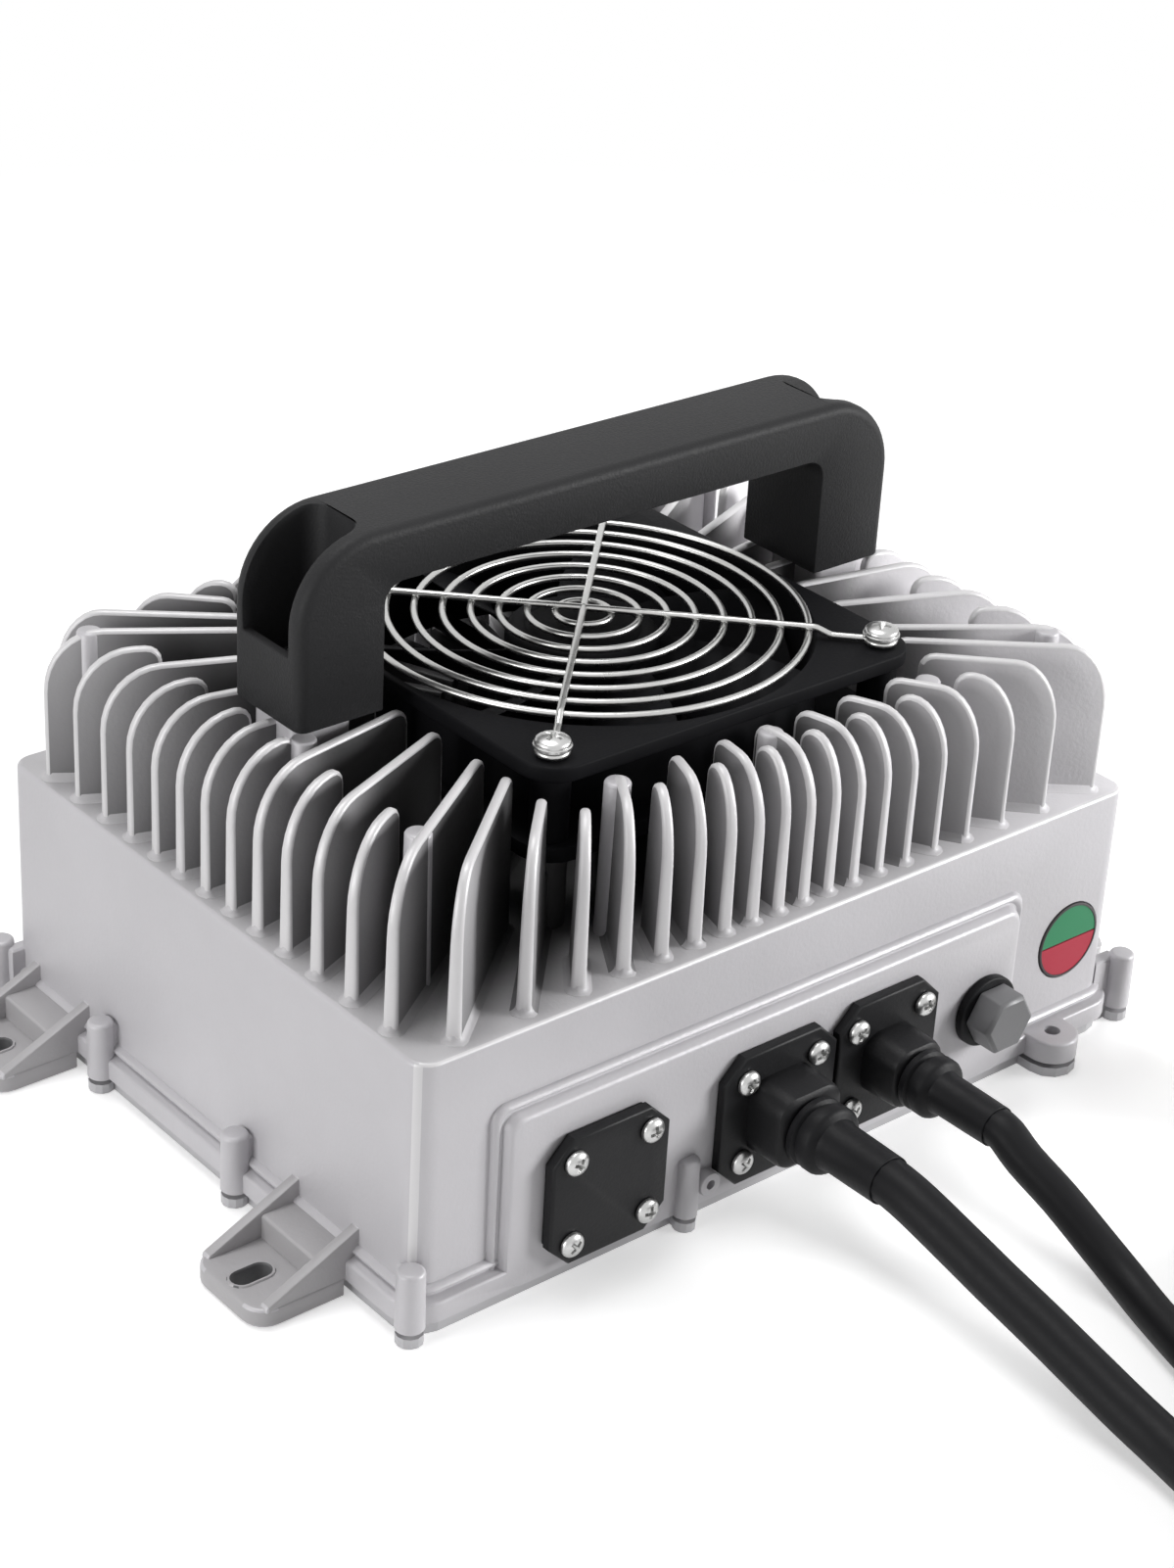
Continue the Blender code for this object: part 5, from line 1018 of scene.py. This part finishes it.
def blade_ring(share, middle, spin):
    """The section of a fan blade, a share of the way from the hub to the tip."""
    steps = 10
    radius = 0.0186 + (0.056 - 0.0186) * share
    tilt = radians(48 - 21 * share)
    chord = 0.018 + 0.008 * share
    sweep = radians(-14 * share)
    path = [(-0.5 + k / steps, 1) for k in range(steps + 1)]
    path += [(0.5 - k / steps, -1) for k in range(steps + 1)]
    ring = []
    for along, face in path:
        camber = 0.0014 * (1 - 4 * along * along)
        thick = 0.0008 * sqrt(max(0.04, 1 - 4 * along * along)) * (1 - 0.35 * share)
        run, rise = along * chord, camber + face * thick
        angle = (run * cos(tilt) - rise * sin(tilt)) / radius + sweep
        height = run * sin(tilt) + rise * cos(tilt)
        ring.append(spin @ Vector((radius * cos(angle), radius * sin(angle), middle + height)))
    return ring


def build_rotor():
    low, high = FAN_BOTTOM + 0.0045, FAN_TOP - 0.002
    bore, skirt, outer = 0.002, 0.017, 0.0195
    profile = [(0, HUB_TOP), (bore, HUB_TOP), (bore, high - 0.0025), (skirt, high - 0.0025), (skirt, low)]
    profile += [(0.0193, low), (outer, low + 0.0004)] + round_top(outer, high, 0.0022, 5)
    profile += [(0.0150, high), (0.0146, high - 0.0003), (0.0142, high), (0, high)]
    bm = solid(turned, profile, (0, 0, 0), 64)
    blades, sections = 7, 9
    for blade in range(blades):
        spin = Matrix.Rotation(2 * pi * blade / blades, 3, "Z")
        rings = [blade_ring(i / (sections - 1), (low + high) / 2, spin) for i in range(sections)]
        merge(bm, solid(loft, rings))
    place(bm, "fan_rotor_detail", [FAN_BLACK], 45, "fan_plastic", "fan_rotor", body=ROTOR)


build_guard()
build_fan_frame()
build_rotor()


# Handle


def build_handle():
    half, open_half, top, low = 0.0935, 0.0695, 0.1605, 0.1145
    front, rear = -0.0105, 0.0170
    corner, bar, inner = 0.02116, 0.0138, 0.00506
    inside_top = top - bar
    outline = [(half, low)] + arc(half - corner, top - corner, corner, 0, 90, 14)
    outline += arc(-half + corner, top - corner, corner, 90, 180, 14) + [(-half, low), (-open_half, low)]
    outline += arc(-open_half + inner, inside_top - inner, inner, 180, 90, 6)
    outline += arc(open_half - inner, inside_top - inner, inner, 90, 0, 6) + [(open_half, low)]
    bm = solid(loft, [facing_front(outline, front), facing_front(outline, rear)])
    outwards(bm)
    outer_edges = []
    for edge in bm.edges:
        a, b = (v.co for v in edge.verts)
        if abs(a.y - b.y) > TINY or a.z + b.z < 2 * low + TINY:
            continue
        if not all(abs(p.x) <= open_half + TINY and p.z <= inside_top + TINY for p in (a, b)):
            outer_edges.append(edge)
    bevel(bm, outer_edges, 0.00276, 6)
    made = helper(bm, "handle_detail", HANDLE_BLACK)
    y0, y1, near, pocket_corner = front + 0.005, rear - 0.004, open_half + 0.003, 0.005
    corners = arc(near + pocket_corner, y0 + pocket_corner, pocket_corner, 270, 180, 6)
    corners += arc(near + pocket_corner, y1 - pocket_corner, pocket_corner, 180, 90, 6)
    for side in (-1, 1):
        for reach, floor_z, ceiling in ((half - 0.00264, 0.12462, 0.140), (half + 0.01, 0.13244, top + 0.01)):
            box = [(side * px, py) for px, py in corners + [(reach, y1), (reach, y0)]]
            carve(made, [helper(solid(loft, [upright(box, floor_z), upright(box, ceiling)]))])
        hole = rod(0.0031, low - 0.001, 0.1256)
        carve(made, [helper(solid(turned, hole, (side * HANDLE_SCREW_X, HANDLE_Y, 0), 24))])
    soft = made.modifiers.new("soft", "BEVEL")
    soft.width = 0.0005
    soft.segments = 2
    soft.limit_method = "ANGLE"
    soft.angle_limit = radians(50)
    applied(made)
    settle(made, "black_plastic", "handle")


build_handle()


# Plates, cable entries, vent and lens on the connector face


def front_ring(bm, x, z, inner, outer, back, front, edge, segments):
    tall = back - front
    profile = [(inner, 0), (outer, 0)] + round_top(outer, tall, edge, 3) + [(inner, tall)]
    turned(bm, profile, (x, back, z), segments, FORWARD)


def plate(x, z, size_x, size_z, back, name):
    """A plate with cut corners and a soft front edge, and the helper for its four screw holes."""
    front, edge = back - PLATE_THICKNESS, 0.0007

    def outline(inset, depth):
        corner = 0.006 - inset * 0.5
        return facing_front(centred(x, z, size_x / 2 - inset, size_z / 2 - inset, corner, 1), depth)

    rings = [outline(edge * fall, front + edge - edge * rise) for fall, rise in quarter(3)]
    made = helper(solid(loft, [outline(0, back)] + rings), name, PLATE_BLACK)
    bm = bmesh.new()
    for sx in (-1, 1):
        for sz in (-1, 1):
            spot = (x + sx * PLATE_HALF_PITCH, back, z + sz * PLATE_HALF_PITCH)
            turned(bm, rod(0.0018, -0.001, PLATE_THICKNESS + 0.001), spot, 18, FORWARD)
    return made, helper(bm)


def build_blank():
    made, holes = plate(BLANK_X, BLANK_Z, 0.0350, 0.0350, PANEL_Y - BLANK_GASKET, "blank_plate_detail")
    carve(made, [holes])
    settle(made, "black_plastic", "blank_plate")


def build_entry(prefix, x, z, size_x, cable):
    back = PANEL_Y - GAP
    made, holes = plate(x, z, size_x, 0.0365, back, f"{prefix}_flange_detail")
    front = back - PLATE_THICKNESS
    body_front = front - 0.0113
    half = 0.0105 * cable / 0.006
    shape = [(back - 0.001, 0), (front + 0.0004, 0), (body_front + 0.0020, 0.0003)]
    shape += [(body_front + 0.0008, 0.0007), (body_front, 0.0019)]
    rings = [facing_front(centred(x, z, half - d, half - d, 0.006 - d, 8), depth) for depth, d in shape]
    carve(made, [helper(solid(loft, rings))], "UNION")
    bore, collar = cable + 0.0001, cable + 0.003
    carve(made, [holes, helper(solid(turned, rod(bore, -0.001, 0.016), (x, back, z), 40, FORWARD))])
    settle(made, "black_plastic", f"{prefix}_flange")
    waist = collar - 0.0009
    profile = [(bore, GAP), (collar - 0.0006, GAP), (collar, 0.0009), (collar, 0.0024), (waist, 0.0030)]
    profile += [(waist, 0.0038), (collar, 0.0044), (collar, 0.0068), (collar - 0.0004, 0.0076)]
    profile += [(collar - 0.0010, 0.0080), (cable + 0.0009, 0.0086), (cable + 0.0005, 0.0100)]
    profile += [(cable + 0.0004, 0.0200), (cable + 0.0003, 0.0265), (cable + 0.0001, 0.0266)]
    bm = solid(turned, profile, (x, body_front, z), 40, FORWARD)
    place(bm, f"{prefix}_boot_detail", [RUBBER], 35, "black_rubber", f"{prefix}_boot")


def build_vent():
    seat, seal = PANEL_Y - GAP, 0.0022
    bm = solid(front_ring, VENT_X, VENT_Z, 0.0053, 0.0098, seat, seat - seal, 0.0006, 48)
    place(bm, "vent_seal_detail", [RUBBER], 35, "black_rubber", "vent_seal")
    head = seat - seal - GAP
    shape = ((0, 0.0085), (0.0062, 0.0085), (0.0070, 0.0081), (0.0075, 0.0073))
    bm = solid(loft, [facing_front(circle(VENT_X, VENT_Z, radius, 6), head - out) for out, radius in shape])
    outwards(bm)
    bevel(bm, [e for e in bm.edges if abs(e.verts[0].co.y - e.verts[1].co.y) > 0.002], 0.0005, 2)
    merge(bm, solid(turned, rod(0.005, 0, 0.018), (VENT_X, FACE_Y + 0.0055, VENT_Z), 24, FORWARD))
    place(bm, "vent_plug_detail", [VENT_GREY], 35, "grey_plastic", "vent_plug")


def build_lens():
    """Round window: dark rim, green upper half and red lower half, with a thin line between."""
    back, radius, seam = FACE_Y + 0.0009, 0.0102, 1.2
    bm = solid(front_ring, LENS_X, LENS_Z, 0.0101, 0.0108, back, FACE_Y - 0.0006, 0.0003, 64)
    for start, mat in ((seam, 1), (180 + seam, 2)):
        outline = arc(LENS_X, LENS_Z, radius, start, start + 180 - 2 * seam, 28)
        small = [(LENS_X + (px - LENS_X) * 0.985, LENS_Z + (pz - LENS_Z) * 0.985) for px, pz in outline]
        rings = [(outline, back), (outline, FACE_Y - 0.0003), (small, FACE_Y - 0.00045)]
        merge(bm, solid(loft, [facing_front(ring, depth) for ring, depth in rings], mat))
    merge(bm, solid(turned, rod(radius, 0, 0.0010), (LENS_X, back, LENS_Z), 48, FORWARD))
    place(bm, "status_lens_detail", [LENS_EDGE, GREEN, RED], 30, "status_lens", "status_lens")


build_blank()
build_entry("output", OUTPUT_X, OUTPUT_Z, 0.0365, OUTPUT_CABLE)
build_entry("input", INPUT_X, INPUT_Z, 0.034, INPUT_CABLE)
build_vent()
build_lens()


# Floor, backdrop and light

FLOOR_HALF, FLOOR_Z, FLOOR_LIFT = 6, -0.0001, 0.45
WORLD_LIGHT = 0.12
LAMP_TARGET = (0, 0, 0.05)


def seen_rays(tree):
    """1 for camera, glossy and transmission rays, and 0 for those that carry light to the object."""
    path = add_node(tree, "LightPath").outputs
    level = maths(tree, "MAXIMUM", path["Is Camera Ray"], path["Is Glossy Ray"])
    return maths(tree, "MAXIMUM", level, path["Is Transmission Ray"])


def floor_finish():
    """A pale floor that looks white, keeps the object's shadow, and turns plain white further off."""
    made, tree, shader = new_material("floor_white")
    feed(tree, shader, {"Base Color": (0.85, 0.85, 0.85, 1.0), "Roughness": 0.7})
    seen = seen_rays(tree)
    glow = add_node(tree, "Emission", {"Strength": maths(tree, "MULTIPLY", seen, FLOOR_LIFT)})
    near = add_node(tree, "AddShader", {0: shader.outputs[0], 1: glow.outputs[0]})
    spot = add_node(tree, "TexCoord").outputs["Object"]
    far = add_node(tree, "VectorMath", {0: spot}, operation="LENGTH").outputs["Value"]
    limits = {"From Min": 0.40, "From Max": 0.75}
    fade = add_node(tree, "MapRange", {"Value": far, **limits}).outputs["Result"]
    amount = maths(tree, "MULTIPLY", fade, seen)
    plain = add_node(tree, "Emission")
    mix = add_node(tree, "MixShader", {"Fac": amount, 1: near.outputs[0], 2: plain.outputs[0]})
    feed(tree, tree.nodes["Material Output"], {"Surface": mix.outputs[0]})
    return made


def lamp(name, spot, size, power):
    data = bpy.data.lights.new(name, "AREA")
    data.shape = "RECTANGLE"
    data.size, data.size_y = size
    data.energy = power
    made = linked(name, data)
    made.location = spot
    made.rotation_euler = (Vector(LAMP_TARGET) - Vector(spot)).to_track_quat("-Z", "Y").to_euler()


floor_mesh = bpy.data.meshes.new("floor")
floor_corners = rectangle(-FLOOR_HALF, -FLOOR_HALF, FLOOR_HALF, FLOOR_HALF)
floor_mesh.from_pydata(upright(floor_corners, FLOOR_Z), [], [(0, 1, 2, 3)])
floor_mesh.materials.append(floor_finish())
linked("floor", floor_mesh)

world = bpy.data.worlds.new("studio")
scene.world = world
world.use_nodes = True
sky_tree = world.node_tree
sky = sky_tree.nodes["Background"]
seen_level = {"Value": seen_rays(sky_tree), "To Min": WORLD_LIGHT, "To Max": 1.0}
sky_level = add_node(sky_tree, "MapRange", seen_level).outputs["Result"]
feed(sky_tree, sky, {"Color": (1.0, 1.0, 1.0, 1.0), "Strength": sky_level})

lamp("key", (1.25, -1.1, 0.52), (0.7, 0.5), 28)
lamp("top", (-0.1, 0.3, 1.5), (0.7, 0.7), 12)
lamp("side", (-1.5, 0.0, 0.4), (0.8, 0.6), 9.8)

scene.view_settings.view_transform = "Standard"
